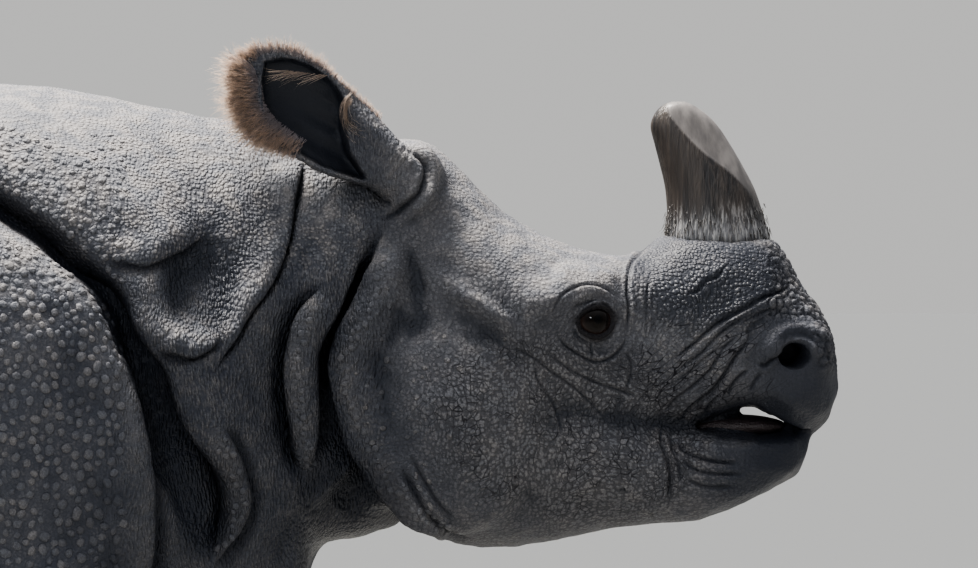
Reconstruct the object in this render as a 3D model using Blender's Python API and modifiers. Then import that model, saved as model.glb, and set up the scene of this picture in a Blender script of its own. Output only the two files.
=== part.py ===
"""Greater one-horned (Indian) rhinoceros, an adult cow, standing still at life size.

Frame: +X forward, +Y the animal's left, +Z up, metres, floor at Z = 0.
The soft body is modelled whole, from lofts and muscle masses fused into one skin,
then parted with thin cuts into head, jaw, neck, trunk and legs.
Ears, tail, eyes, horn and toenails are solids of their own, let into the flesh.
"""
import math

import bmesh
import bpy
import numpy as np
from mathutils import Matrix, Vector

# ---------------------------------------------------------------- driving sizes
GAP = 0.0003              # clearance between neighbouring solids
RIM_GAP = 0.0010          # the same round solids with sharp rims: ears and tail
VOXEL = 0.013             # grain of the fused body
BODY_TRIANGLES = 3500     # budget of the fused body before it is parted
HEAD_CALM = 0.80          # how readily the head gives up facets, against 1 for the trunk
SMOOTHING = 5             # passes that melt the lofts together
SLIVER = 40               # a cut-off shell with fewer corners than this is dropped
BELOW_FLOOR = 0.03        # how far legs run on before the floor trims them

# Vertical sections along the spine, each
# (x, top, height of the widest point, bottom, half width, power above, power below)
TRUNK = [
    (-1.605, 1.120, 1.030, 0.940, 0.070, 2.0, 2.0),
    (-1.575, 1.250, 1.040, 0.830, 0.235, 2.2, 2.0),
    (-1.490, 1.405, 1.050, 0.740, 0.370, 2.3, 2.0),
    (-1.300, 1.545, 1.070, 0.670, 0.462, 2.2, 2.1),
    (-1.020, 1.595, 1.060, 0.615, 0.500, 2.1, 2.2),
    (-0.650, 1.562, 1.030, 0.565, 0.528, 2.1, 2.2),
    (-0.250, 1.538, 1.010, 0.540, 0.545, 2.1, 2.2),
    (0.080, 1.560, 1.020, 0.555, 0.518, 2.1, 2.2),
    (0.330, 1.610, 1.050, 0.595, 0.462, 2.0, 2.2),
    (0.520, 1.585, 1.070, 0.640, 0.388, 1.9, 2.2),
    (0.660, 1.540, 1.080, 0.690, 0.310, 1.9, 2.2),
    (0.750, 1.450, 1.060, 0.750, 0.235, 2.0, 2.2),
    (0.795, 1.250, 1.000, 0.795, 0.160, 2.0, 2.2),
    (0.808, 1.100, 0.960, 0.840, 0.080, 2.0, 2.0),
]
NECK = [
    (0.250, 1.610, 1.240, 0.820, 0.380, 1.9, 2.2),
    (0.400, 1.605, 1.230, 0.830, 0.345, 1.9, 2.2),
    (0.550, 1.578, 1.210, 0.850, 0.305, 1.9, 2.2),
    (0.700, 1.550, 1.190, 0.890, 0.265, 2.0, 2.2),
    (0.830, 1.533, 1.180, 0.908, 0.232, 2.1, 2.1),
    (0.920, 1.524, 1.190, 0.915, 0.205, 2.2, 2.0),
    (1.000, 1.470, 1.190, 0.960, 0.160, 2.2, 2.0),
    (1.060, 1.380, 1.190, 1.020, 0.090, 2.0, 2.0),
]
SKULL = [
    (0.860, 1.460, 1.230, 1.020, 0.120, 2.2, 2.0),
    (0.910, 1.514, 1.230, 0.960, 0.175, 2.3, 2.1),
    (0.960, 1.523, 1.235, 0.950, 0.195, 2.4, 2.2),
    (0.993, 1.517, 1.238, 0.950, 0.200, 2.4, 2.2),
    (1.024, 1.491, 1.240, 0.960, 0.202, 2.3, 2.2),
    (1.055, 1.459, 1.242, 0.970, 0.201, 2.2, 2.2),
    (1.101, 1.414, 1.244, 0.980, 0.195, 2.1, 2.2),
    (1.148, 1.383, 1.246, 0.990, 0.184, 2.1, 2.2),
    (1.194, 1.362, 1.242, 1.010, 0.170, 2.2, 2.2),
    (1.241, 1.348, 1.232, 1.030, 0.152, 2.3, 2.2),
    (1.287, 1.340, 1.215, 1.050, 0.136, 2.4, 2.3),
    (1.326, 1.343, 1.205, 1.065, 0.126, 2.5, 2.4),
    (1.362, 1.353, 1.200, 1.075, 0.120, 2.5, 2.4),
    (1.420, 1.362, 1.195, 1.088, 0.114, 2.5, 2.4),
    (1.480, 1.362, 1.190, 1.100, 0.108, 2.5, 2.4),
    (1.520, 1.350, 1.185, 1.095, 0.101, 2.4, 2.4),
    (1.554, 1.306, 1.180, 1.080, 0.092, 2.3, 2.4),
    (1.580, 1.278, 1.175, 1.071, 0.080, 2.2, 2.4),
    (1.602, 1.244, 1.163, 1.079, 0.064, 2.2, 2.2),
    (1.617, 1.198, 1.150, 1.101, 0.043, 2.1, 2.1),
    (1.625, 1.152, 1.140, 1.128, 0.012, 2.0, 2.0),
]
JAW = [
    (0.905, 1.180, 1.080, 0.990, 0.080, 2.0, 2.0),
    (0.946, 1.200, 1.080, 0.938, 0.140, 2.1, 2.0),
    (0.985, 1.200, 1.075, 0.920, 0.165, 2.2, 2.0),
    (1.024, 1.190, 1.070, 0.902, 0.176, 2.2, 2.0),
    (1.062, 1.180, 1.065, 0.892, 0.180, 2.2, 2.0),
    (1.101, 1.170, 1.060, 0.890, 0.178, 2.2, 2.0),
    (1.163, 1.150, 1.050, 0.896, 0.168, 2.2, 2.0),
    (1.256, 1.120, 1.035, 0.915, 0.142, 2.2, 2.0),
    (1.318, 1.100, 1.020, 0.925, 0.122, 2.2, 2.0),
    (1.396, 1.082, 1.010, 0.929, 0.105, 2.2, 2.1),
    (1.442, 1.074, 1.010, 0.944, 0.096, 2.2, 2.2),
    (1.489, 1.070, 1.020, 0.962, 0.085, 2.3, 2.3),
    (1.520, 1.069, 1.025, 0.980, 0.075, 2.3, 2.3),
    (1.551, 1.068, 1.032, 0.993, 0.060, 2.3, 2.3),
    (1.571, 1.064, 1.040, 1.012, 0.040, 2.2, 2.2),
    (1.579, 1.055, 1.045, 1.034, 0.015, 2.0, 2.0),
]
# Level sections down each leg: (z, x, y, half depth along X, half width along Y)
FORELEG = [
    (1.150, 0.290, 0.280, 0.220, 0.100),
    (0.950, 0.290, 0.300, 0.225, 0.140),
    (0.780, 0.300, 0.292, 0.212, 0.160),
    (0.660, 0.320, 0.280, 0.182, 0.152),
    (0.530, 0.345, 0.270, 0.154, 0.138),
    (0.420, 0.358, 0.264, 0.140, 0.129),
    (0.320, 0.356, 0.262, 0.125, 0.118),
    (0.210, 0.354, 0.262, 0.119, 0.114),
    (0.130, 0.360, 0.264, 0.127, 0.121),
    (0.060, 0.370, 0.266, 0.143, 0.134),
    (0.020, 0.374, 0.267, 0.146, 0.138),
    (-BELOW_FLOOR, 0.374, 0.267, 0.143, 0.135),
]
HINDLEG = [
    (1.250, -1.080, 0.260, 0.270, 0.120),
    (1.060, -1.080, 0.295, 0.325, 0.165),
    (0.900, -1.070, 0.304, 0.315, 0.182),
    (0.770, -1.080, 0.298, 0.268, 0.170),
    (0.650, -1.130, 0.286, 0.208, 0.150),
    (0.550, -1.195, 0.277, 0.160, 0.130),
    (0.460, -1.225, 0.272, 0.138, 0.118),
    (0.350, -1.205, 0.270, 0.116, 0.110),
    (0.220, -1.182, 0.270, 0.110, 0.106),
    (0.130, -1.170, 0.271, 0.119, 0.113),
    (0.060, -1.158, 0.272, 0.134, 0.126),
    (0.020, -1.154, 0.272, 0.138, 0.130),
    (-BELOW_FLOOR, -1.154, 0.272, 0.135, 0.127),
]
# How far each foot is set forward of the tables above, growing from hip to floor
STRIDE = {"leg_front_right": 0.00, "leg_front_left": 0.13,
          "leg_hind_right": -0.06, "leg_hind_left": 0.12}
STRIDE_FROM = 0.85        # the height above which a leg isn't swung at all

# Muscle masses: (centre, radii, turn about Y in degrees), made on both sides
MASSES = [
    ((0.255, 0.318, 1.060), (0.265, 0.160, 0.350), 8),      # shoulder
    ((-1.120, 0.315, 1.040), (0.340, 0.185, 0.360), -8),    # haunch
    ((0.640, 0.120, 0.855), (0.170, 0.125, 0.160), 20),     # brisket
    ((1.010, 0.128, 1.110), (0.175, 0.094, 0.200), -18),    # cheek
    ((1.135, 0.120, 1.262), (0.130, 0.078, 0.048), -14),    # cheekbone
    ((1.238, 0.108, 1.262), (0.062, 0.062, 0.060), 0),      # brow and eye socket
    ((1.560, 0.048, 1.178), (0.052, 0.046, 0.066), 20),     # nostril pad
    ((0.955, 0.135, 1.455), (0.058, 0.060, 0.068), 25),     # ear root
]
# Folds of the hide, each a line in the side view, read so that the overlapping flap
# is on its left hand: (points as (x, z), groove depth, groove width, lip height)
FOLDS = {
    "behind_cheek": ([(0.915, 1.375), (0.872, 1.300), (0.850, 1.220), (0.852, 1.130),
                      (0.880, 1.030), (0.925, 0.950), (0.990, 0.900)], 0.022, 0.022, 0.010),
    "neck_roll": ([(0.855, 1.430), (0.812, 1.340), (0.780, 1.250), (0.775, 1.160),
                   (0.792, 1.070), (0.812, 1.000)], 0.024, 0.026, 0.012),
    "neck_middle": ([(0.800, 1.480), (0.775, 1.400), (0.735, 1.310), (0.690, 1.230),
                     (0.650, 1.190)], 0.022, 0.028, 0.010),
    "before_shoulder": ([(0.130, 1.535), (0.240, 1.515), (0.330, 1.480), (0.425, 1.430),
                         (0.500, 1.370), (0.540, 1.330), (0.560, 1.260), (0.600, 1.170),
                         (0.640, 1.080), (0.690, 1.010), (0.705, 0.930), (0.680, 0.860)], 0.034, 0.034, 0.016),
    "behind_shoulder": ([(0.020, 1.600), (0.000, 1.400), (0.030, 1.150), (0.060, 0.950),
                         (0.110, 0.800)], 0.026, 0.034, 0.012),
    "before_haunch": ([(-0.800, 1.620), (-0.790, 1.400), (-0.760, 1.150), (-0.740, 0.950),
                       (-0.720, 0.780)], 0.026, 0.034, 0.012),
    "below_haunch": ([(-1.560, 1.020), (-1.400, 0.985), (-1.200, 0.930), (-1.020, 0.905)],
                     0.018, 0.030, 0.010),
    "foreleg_top": ([(0.120, 0.760), (0.300, 0.735), (0.480, 0.770)], 0.018, 0.028, 0.010),
    "hindleg_top": ([(-1.380, 0.700), (-1.150, 0.690), (-0.860, 0.760)], 0.016, 0.028, 0.008),
}

FOLD_FADE = 0.20          # share of a fold's length over which each end dies away
BACK_LINE = 1.55          # a fold that starts above this crosses the back

# Horn: level sections (z, rear x, front x, half width)
HORN = [
    (1.325, 1.3640, 1.5180, 0.0600),
    (1.366, 1.3600, 1.5200, 0.0620),
    (1.397, 1.3605, 1.5120, 0.0570),
    (1.443, 1.3575, 1.4970, 0.0500),
    (1.482, 1.3490, 1.4770, 0.0440),
    (1.513, 1.3410, 1.4590, 0.0390),
    (1.541, 1.3340, 1.4400, 0.0330),
    (1.560, 1.3400, 1.4220, 0.0270),
    (1.574, 1.3520, 1.4020, 0.0190),
    (1.581, 1.3680, 1.3870, 0.0080),
]

# Ear, in its own frame: a rolled leaf whose sections are arcs.
# (distance from the root, half width, half angle of the arc in degrees)
EAR_LEAF = [
    (0.000, 0.034, 165),
    (0.040, 0.037, 158),
    (0.080, 0.046, 140),
    (0.120, 0.058, 118),
    (0.160, 0.067, 102),
    (0.200, 0.070, 92),
    (0.235, 0.065, 84),
    (0.262, 0.050, 74),
    (0.278, 0.028, 60),
]
EAR_ROOT = (0.956, 0.158, 1.446)      # where the ear leaves the head
EAR_TIP = (0.716, 0.208, 1.640)
EAR_OPENING = (0.22, 0.95, -0.10)     # the way the cup of the left ear faces
EAR_WALL = 0.009
EAR_PLUG = 0.036                      # radius of the solid root let into the head

EYE = (1.2437, 0.1400, 1.2418)
EYE_RADIUS = 0.0290

# The tongue lies on the jaw and shows between the open lips
TONGUE = (1.4600, 0.0, 1.0770)
TONGUE_RADII = (0.0950, 0.0480, 0.0200)

# Tail: (x, y, z, radius) from the root to the tip
TAIL = [
    (-1.455, 0.000, 1.330, 0.060),
    (-1.540, 0.000, 1.300, 0.052),
    (-1.605, 0.004, 1.215, 0.043),
    (-1.640, 0.008, 1.080, 0.034),
    (-1.652, 0.010, 0.930, 0.027),
    (-1.650, 0.008, 0.800, 0.022),
    (-1.645, 0.004, 0.705, 0.018),
]

# Toenails: (angle from straight ahead, half width, height) for the three of a foot
NAILS = [("inner", -58, 0.036, 0.062), ("middle", 0, 0.050, 0.074), ("outer", 58, 0.036, 0.062)]
NAIL_THICKNESS = 0.017
NAIL_LIFT = 0.002         # nails stop this far above the floor

# Parting planes of the flesh: a point and the way the cut faces
HEAD_CUT = ((0.885, 0.0, 1.200), (1.0, 0.0, 0.075))
NECK_CUT = ((0.500, 0.0, 1.200), (1.0, 0.0, 0.190))
# Leg blocks, seen from the front: the sloping top runs from crotch to flank
LEG_BLOCKS = {"front": (0.060, 0.740, 0.42, 0.520, 0.780), "hind": (-1.620, -0.740, 0.42, 0.560, 0.840)}
BLOCK_INNER = 0.030
BLOCK_OUTER = 0.700

# The mouth from the side: the slit runs back from the corner to the neck
MOUTH_CORNER = (1.382, 1.0780)
MOUTH_UPPER = [(1.411, 1.0868), (1.442, 1.1010), (1.481, 1.1115), (1.520, 1.1090),
               (1.551, 1.0945), (1.574, 1.0760), (1.590, 1.0700), (1.640, 1.0690)]
MOUTH_LOWER = [(1.640, 1.0660), (1.590, 1.0660), (1.574, 1.0670), (1.520, 1.0682),
               (1.473, 1.0730), (1.411, 1.0713)]
JAW_SLIT = [(1.250, 1.058), (1.080, 1.052), (0.840, 1.060)]

COLOURS = {
    "hide": ((0.105, 0.104, 0.112), 0.72),
    "horn": ((0.120, 0.100, 0.082), 0.55),
    "nail": ((0.150, 0.135, 0.120), 0.50),
    "eye": ((0.012, 0.009, 0.008), 0.08),
    "tongue": ((0.070, 0.040, 0.042), 0.35),
}

parts = None              # the collection that holds the animal
tools = None              # the collection that holds cutters


# ---------------------------------------------------------------- small helpers
def clear_scene():
    for thing in list(bpy.data.objects):
        bpy.data.objects.remove(thing, do_unlink=True)


def new_collection(name):
    group = bpy.data.collections.new(name)
    bpy.context.scene.collection.children.link(group)
    return group


def material(name, colour, roughness):
    made = bpy.data.materials.new(name)
    made.use_nodes = True
    shader = made.node_tree.nodes["Principled BSDF"]
    shader.inputs["Base Color"].default_value = (*colour, 1.0)
    shader.inputs["Roughness"].default_value = roughness
    shader.inputs["Metallic"].default_value = 0.0
    made.diffuse_color = (*colour, 1.0)
    return made


def smooth_through(knots, values, at):
    """A curve through the values that never overshoots them (monotone cubic)."""
    knots = np.asarray(knots, float)
    values = np.asarray(values, float)
    steps = np.diff(knots)
    slopes = np.diff(values) / steps
    tangents = np.zeros_like(values)
    same_way = slopes[:-1] * slopes[1:] > 0
    before = 2 * steps[1:] + steps[:-1]
    after = steps[1:] + 2 * steps[:-1]
    with np.errstate(divide="ignore", invalid="ignore"):
        mean = (before + after) / (before / slopes[:-1] + after / slopes[1:])
    tangents[1:-1] = np.where(same_way, mean, 0.0)
    tangents[0] = slopes[0]
    tangents[-1] = slopes[-1]
    i = np.clip(np.searchsorted(knots, at) - 1, 0, len(steps) - 1)
    t = (at - knots[i]) / steps[i]
    return ((1 + 2 * t) * (1 - t) ** 2 * values[i] + t * (1 - t) ** 2 * steps[i] * tangents[i]
            + t * t * (3 - 2 * t) * values[i + 1] + t * t * (t - 1) * steps[i] * tangents[i + 1])


def resample(table, spacing):
    """Rows of the table at even steps of its first column."""
    table = np.array(sorted(table), float)
    count = max(2, int(round((table[-1, 0] - table[0, 0]) / spacing)) + 1)
    at = np.linspace(table[0, 0], table[-1, 0], count)
    columns = [at] + [smooth_through(table[:, 0], table[:, k], at) for k in range(1, table.shape[1])]
    return np.stack(columns, axis=1)


def add_object(name, mesh, group=None):
    made = bpy.data.objects.new(name, mesh)
    (group or parts).objects.link(made)
    return made


def loft(name, rings):
    """A closed solid through rings of the same number of points, capped at both ends."""
    rings = np.asarray(rings, float)
    count, around = rings.shape[:2]
    points = rings.reshape(-1, 3).tolist()
    faces = []
    for i in range(count - 1):
        for j in range(around):
            k = (j + 1) % around
            faces.append((i * around + j, i * around + k, (i + 1) * around + k, (i + 1) * around + j))
    for end in (0, count - 1):
        points.append(rings[end].mean(axis=0).tolist())
        hub = len(points) - 1
        faces += [(end * around + j, end * around + (j + 1) % around, hub) for j in range(around)]
    mesh = bpy.data.meshes.new(name)
    mesh.from_pydata(points, [], faces)
    face_outward(mesh)
    return mesh


def face_outward(mesh):
    shell = bmesh.new()
    shell.from_mesh(mesh)
    bmesh.ops.recalc_face_normals(shell, faces=shell.faces)
    if shell.calc_volume(signed=True) < 0:
        bmesh.ops.reverse_faces(shell, faces=shell.faces)
    shell.to_mesh(mesh)
    shell.free()


def rounded(angles, power):
    """Points of a superellipse with unit radii."""
    across = np.sign(np.cos(angles)) * np.abs(np.cos(angles)) ** (2.0 / power)
    up = np.sign(np.sin(angles)) * np.abs(np.sin(angles)) ** (2.0 / power)
    return across, up


def spine_loft(name, table, spacing, around=36):
    """Sections stand across the X axis."""
    angles = np.linspace(0, 2 * math.pi, around, endpoint=False)
    rings = []
    for x, top, wide, bottom, half, power_up, power_down in resample(table, spacing):
        across_up, up = rounded(angles, power_up)
        across_down, down = rounded(angles, power_down)
        above = np.sin(angles) >= 0
        y = half * np.where(above, across_up, across_down)
        z = wide + np.where(above, up * (top - wide), down * (wide - bottom))
        rings.append(np.stack([np.full(around, x), y, z], axis=1))
    return loft(name, rings)


def leg_loft(name, table, side, stride, around=28, spacing=0.03):
    """Sections lie level; the foot is carried forward by the stride."""
    angles = np.linspace(0, 2 * math.pi, around, endpoint=False)
    rings = []
    for z, x, y, deep, wide in resample(table, spacing):
        swing = stride * min(1.0, max(0.0, (STRIDE_FROM - z) / STRIDE_FROM) * 1.12)
        along, across = rounded(angles, 2.2)
        rings.append(np.stack([x + swing + deep * along, side * (y + wide * across),
                               np.full(around, z)], axis=1))
    return loft(name, rings)


def ellipsoid(name, centre, radii, tilt=0.0, segments=24, rings=14):
    shell = bmesh.new()
    bmesh.ops.create_uvsphere(shell, u_segments=segments, v_segments=rings, radius=1.0)
    place = (Matrix.Translation(Vector(centre)) @ Matrix.Rotation(math.radians(tilt), 4, "Y")
             @ Matrix.Diagonal((*radii, 1.0)))
    bmesh.ops.transform(shell, matrix=place, verts=shell.verts)
    mesh = bpy.data.meshes.new(name)
    shell.to_mesh(mesh)
    shell.free()
    return mesh


def evaluated(thing):
    """The object's mesh with its modifiers applied."""
    graph = bpy.context.evaluated_depsgraph_get()
    return bpy.data.meshes.new_from_object(thing.evaluated_get(graph))


def bake(thing):
    """Applies the object's modifiers."""
    mesh = evaluated(thing)
    thing.modifiers.clear()
    thing.data = mesh
    return thing


def joined(name, meshes):
    """All meshes in one, still separate shells."""
    shell = bmesh.new()
    for mesh in meshes:
        shell.from_mesh(mesh)
    whole = bpy.data.meshes.new(name)
    shell.to_mesh(whole)
    shell.free()
    return whole


def cutter(name, mesh):
    thing = add_object(name, mesh, tools)
    thing.hide_render = True
    thing.display_type = "WIRE"
    return thing


def combine(thing, other, operation):
    step = thing.modifiers.new(operation.lower(), "BOOLEAN")
    step.operation = operation
    step.solver = "EXACT"
    step.object = other
    return bake(thing)


def swollen(thing, by):
    """A copy of a solid, grown along its normals, as a cutter for its seat."""
    mesh = thing.data.copy()
    grown = cutter(thing.name + "_seat", mesh)
    push = grown.modifiers.new("grow", "DISPLACE")
    push.strength = by
    push.mid_level = 0.0
    return bake(grown)


# ---------------------------------------------------------------- the flesh
def flesh_shells():
    """Every loft and muscle mass, overlapping, before they are fused."""
    shells = [spine_loft("trunk", TRUNK, 0.04), spine_loft("neck", NECK, 0.03),
              spine_loft("skull", SKULL, 0.012), spine_loft("jaw", JAW, 0.015)]
    for leg, stride in STRIDE.items():
        table = FORELEG if "front" in leg else HINDLEG
        side = -1 if "right" in leg else 1
        shells.append(leg_loft(leg, table, side, stride))
    for (x, y, z), radii, tilt in MASSES:
        for side in (-1, 1):
            shells.append(ellipsoid("mass", (x, side * y, z), radii, tilt))
    return shells


def fused_body():
    body = add_object("body", joined("body", flesh_shells()), tools)
    grain = body.modifiers.new("fuse", "REMESH")
    grain.mode = "VOXEL"
    grain.voxel_size = VOXEL
    melt = body.modifiers.new("melt", "SMOOTH")
    melt.factor = 0.5
    melt.iterations = SMOOTHING
    return bake(body)


def along_line(points, line):
    """Signed distance of side-view points from a polyline, positive on its right hand."""
    line = np.asarray(line, float)
    best = np.full(len(points), 1e9)
    signed = np.zeros(len(points))
    place = np.zeros(len(points))
    lengths = np.linalg.norm(np.diff(line, axis=0), axis=1)
    run = np.concatenate([[0], np.cumsum(lengths)])
    for i, (start, end) in enumerate(zip(line[:-1], line[1:])):
        way = end - start
        t = np.clip(((points - start) @ way) / (way @ way), 0, 1)
        offset = points - (start + t[:, None] * way)
        distance = np.linalg.norm(offset, axis=1)
        nearer = distance < best
        best[nearer] = distance[nearer]
        cross = way[0] * offset[:, 1] - way[1] * offset[:, 0]
        signed[nearer] = -np.sign(cross[nearer]) * distance[nearer]
        place[nearer] = (run[i] + t[nearer] * lengths[i]) / run[-1]
    return signed, place


def fold_shape(distance, depth, width, lip):
    """Height of the hide across a fold: a full lip, a groove, and a slow rise behind it."""
    groove = -depth * np.exp(-((distance - 0.5 * width) / width) ** 2)
    roll = lip * np.exp(-((distance + 1.3 * width) / (1.3 * width)) ** 2)
    return groove + roll


def carve_folds(body):
    mesh = body.data
    count = len(mesh.vertices)
    points = np.empty(count * 3)
    mesh.vertices.foreach_get("co", points)
    points = points.reshape(-1, 3)
    normals = np.empty(count * 3)
    mesh.vertex_normals.foreach_get("vector", normals)
    normals = normals.reshape(-1, 3)
    side_view = points[:, [0, 2]]
    faces_side = np.clip((np.abs(normals[:, 1]) - 0.15) / 0.35, 0, 1)
    faces_up = np.clip((normals[:, 2] - 0.3) / 0.4, 0, 1) * (points[:, 0] < 0.3)
    shown = np.maximum(faces_side, faces_up)
    push = np.zeros(count)
    for line, depth, width, lip in FOLDS.values():
        distance, place = along_line(side_view, line)
        fade = np.clip((1 - place) / FOLD_FADE, 0, 1)
        crosses_back = line[0][1] > BACK_LINE
        if not crosses_back:
            fade = fade * np.clip(place / FOLD_FADE, 0, 1)
        push += fold_shape(distance, depth, width, lip) * fade * shown
    points += normals * push[:, None]
    mesh.vertices.foreach_set("co", points.ravel())
    mesh.update()


def thin_out(body):
    """Fewer, larger facets on trunk and legs than on the head."""
    calm = body.vertex_groups.new(name="calm")
    for vertex in body.data.vertices:
        forward = min(1.0, max(0.0, (vertex.co.x - 0.55) / 0.35))
        calm.add([vertex.index], 1.0 - (1.0 - HEAD_CALM) * forward, "REPLACE")
    triangles = sum(len(face.vertices) - 2 for face in body.data.polygons)
    fewer = body.modifiers.new("thin", "DECIMATE")
    fewer.ratio = BODY_TRIANGLES / triangles
    fewer.vertex_group = calm.name
    fewer.vertex_group_factor = 1.0
    fewer.use_collapse_triangulate = True
    bake(body)
    body.vertex_groups.clear()


def box(name, low, high):
    shell = bmesh.new()
    bmesh.ops.create_cube(shell, size=1.0)
    low = Vector(low)
    high = Vector(high)
    size = high - low
    bmesh.ops.transform(shell, matrix=Matrix.Translation((low + high) / 2) @ Matrix.Diagonal((*size, 1.0)),
                        verts=shell.verts)
    mesh = bpy.data.meshes.new(name)
    shell.to_mesh(mesh)
    shell.free()
    return mesh


def half_space(name, point, facing, shift=0.0, reach=4.0):
    """A huge block that fills everything ahead of a plane."""
    mesh = box(name, (0, -reach, -reach), (2 * reach, reach, reach))
    facing = Vector(facing).normalized()
    turn = Vector((1, 0, 0)).rotation_difference(facing).to_matrix().to_4x4()
    mesh.transform(Matrix.Translation(Vector(point) + facing * shift) @ turn)
    return cutter(name, mesh)


def prism(name, outline, low, high, plane):
    """An outline pulled straight through: 'xz' outlines run along Y, 'yz' ones along X."""
    rings = []
    for at in (low, high):
        rings.append([(a, at, b) if plane == "xz" else (at, a, b) for a, b in outline])
    shell = bmesh.new()
    lower = [shell.verts.new(p) for p in rings[0]]
    upper = [shell.verts.new(p) for p in rings[1]]
    shell.faces.new(lower)
    shell.faces.new(upper)
    count = len(outline)
    for i in range(count):
        j = (i + 1) % count
        shell.faces.new((lower[i], lower[j], upper[j], upper[i]))
    mesh = bpy.data.meshes.new(name)
    shell.to_mesh(mesh)
    shell.free()
    face_outward(mesh)
    return cutter(name, mesh)


def leg_block(leg, grow):
    """The block that holds one leg, seen from the front a slope from crotch to flank."""
    rear, front, flank, crotch_height, flank_height = LEG_BLOCKS["front" if "front" in leg else "hind"]
    side = -1 if "right" in leg else 1
    slope = (flank_height - crotch_height) / flank
    outer_height = crotch_height + slope * BLOCK_OUTER
    outline = [(side * (BLOCK_INNER - grow), -0.2), (side * BLOCK_OUTER, -0.2),
               (side * BLOCK_OUTER, outer_height + grow),
               (side * (BLOCK_INNER - grow), crotch_height + grow)]
    return prism(leg + "_block", outline, rear - grow, front + grow, "yz")


def copy_of(thing, name):
    return add_object(name, thing.data.copy())


def part_off(body, name, keep, remove):
    """Takes one piece off the body: the piece lies inside one cutter, the rest outside the other."""
    piece = combine(copy_of(body, name), keep, "INTERSECT")
    combine(body, remove, "DIFFERENCE")
    return piece


def shells_of(shell):
    """The separate bodies of a mesh, as sets of vertices."""
    left = set(shell.verts)
    groups = []
    while left:
        seed = left.pop()
        group = {seed}
        front = [seed]
        while front:
            for edge in front.pop().link_edges:
                for vert in edge.verts:
                    if vert in left:
                        left.discard(vert)
                        group.add(vert)
                        front.append(vert)
        groups.append(group)
    return groups


def keep_shell(thing, score=len):
    """Keeps the shell with the highest score, out of those that aren't slivers."""
    shell = bmesh.new()
    shell.from_mesh(thing.data)
    groups = sorted(shells_of(shell), key=len)
    chosen = max((group for group in groups if len(group) >= SLIVER), key=score, default=groups[-1])
    spare = [vert for vert in shell.verts if vert not in chosen]
    bmesh.ops.delete(shell, geom=spare, context="VERTS")
    shell.to_mesh(thing.data)
    shell.free()
    return thing


def mouth_cutter():
    """The open lips in front, and a slit from their corner back to the neck."""
    upper = [(x, z + GAP / 2) for x, z in reversed(JAW_SLIT)]
    lower = [(x, z - GAP / 2) for x, z in JAW_SLIT]
    corner_x, corner_z = MOUTH_CORNER
    outline = (upper + [(corner_x, corner_z + GAP)] + MOUTH_UPPER + MOUTH_LOWER
               + [(corner_x, corner_z - GAP)] + lower)
    return prism("mouth", outline, -0.4, 0.4, "xz")


# ---------------------------------------------------------------- separate solids
def make_horn():
    around = 14
    angles = np.linspace(0, 2 * math.pi, around, endpoint=False)
    rings = []
    for z, rear, front, half in resample(HORN, 0.026):
        middle = (rear + front) / 2
        along, across = rounded(angles, 2.15)
        narrowing = 1.0 - 0.16 * along
        rings.append(np.stack([middle + (front - rear) / 2 * along, half * across * narrowing,
                               np.full(around, z)], axis=1))
    return add_object("horn", loft("horn", rings))


def ear_frame(side):
    """Axes of an ear: along it, across it and the way its cup opens."""
    root = Vector((EAR_ROOT[0], side * EAR_ROOT[1], EAR_ROOT[2]))
    tip = Vector((EAR_TIP[0], side * EAR_TIP[1], EAR_TIP[2]))
    along = (tip - root).normalized()
    opening = Vector((EAR_OPENING[0], side * EAR_OPENING[1], EAR_OPENING[2]))
    opening = (opening - along * opening.dot(along)).normalized()
    across = along.cross(opening).normalized()
    return root, tip, along, across, opening


def make_ear(name, side):
    """A rolled leaf with a wall, on a solid root that is let into the head."""
    root, tip, along, across, opening = ear_frame(side)
    stretch = (tip - root).length / EAR_LEAF[-1][0]
    rows = resample(EAR_LEAF, 0.035)
    columns = 9
    points = []
    for reach, half, arc in rows:
        spread = np.linspace(-1, 1, columns) * math.radians(arc)
        radius = half / max(math.sin(min(math.radians(arc), math.pi / 2)), 0.2)
        for angle in spread:
            deep = radius * math.cos(angle)
            wide = radius * math.sin(angle)
            centre = root + along * reach * stretch
            point = centre + across * wide - opening * (deep - radius * 0.55)
            points.append(point)
    faces = []
    for i in range(len(rows) - 1):
        for j in range(columns - 1):
            a = i * columns + j
            faces.append((a, a + 1, a + columns + 1, a + columns))
    mesh = bpy.data.meshes.new(name)
    mesh.from_pydata([tuple(p) for p in points], [], faces)
    ear = add_object(name, mesh)
    wall = ear.modifiers.new("wall", "SOLIDIFY")
    wall.thickness = EAR_WALL
    wall.offset = 0.0
    bake(ear)
    face_outward(ear.data)
    plug = cutter(name + "_root", ellipsoid(name + "_root", root + along * 0.012,
                                            (EAR_PLUG * 1.25, EAR_PLUG * 1.15, EAR_PLUG * 1.3),
                                            segments=10, rings=6))
    combine(ear, plug, "UNION")
    return ear


def make_eye(name, side):
    x, y, z = EYE
    return add_object(name, ellipsoid(name, (x, side * y, z), (EYE_RADIUS,) * 3, segments=12, rings=7))


def make_tongue():
    return add_object("tongue", ellipsoid("tongue", TONGUE, TONGUE_RADII, segments=10, rings=6))


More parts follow.
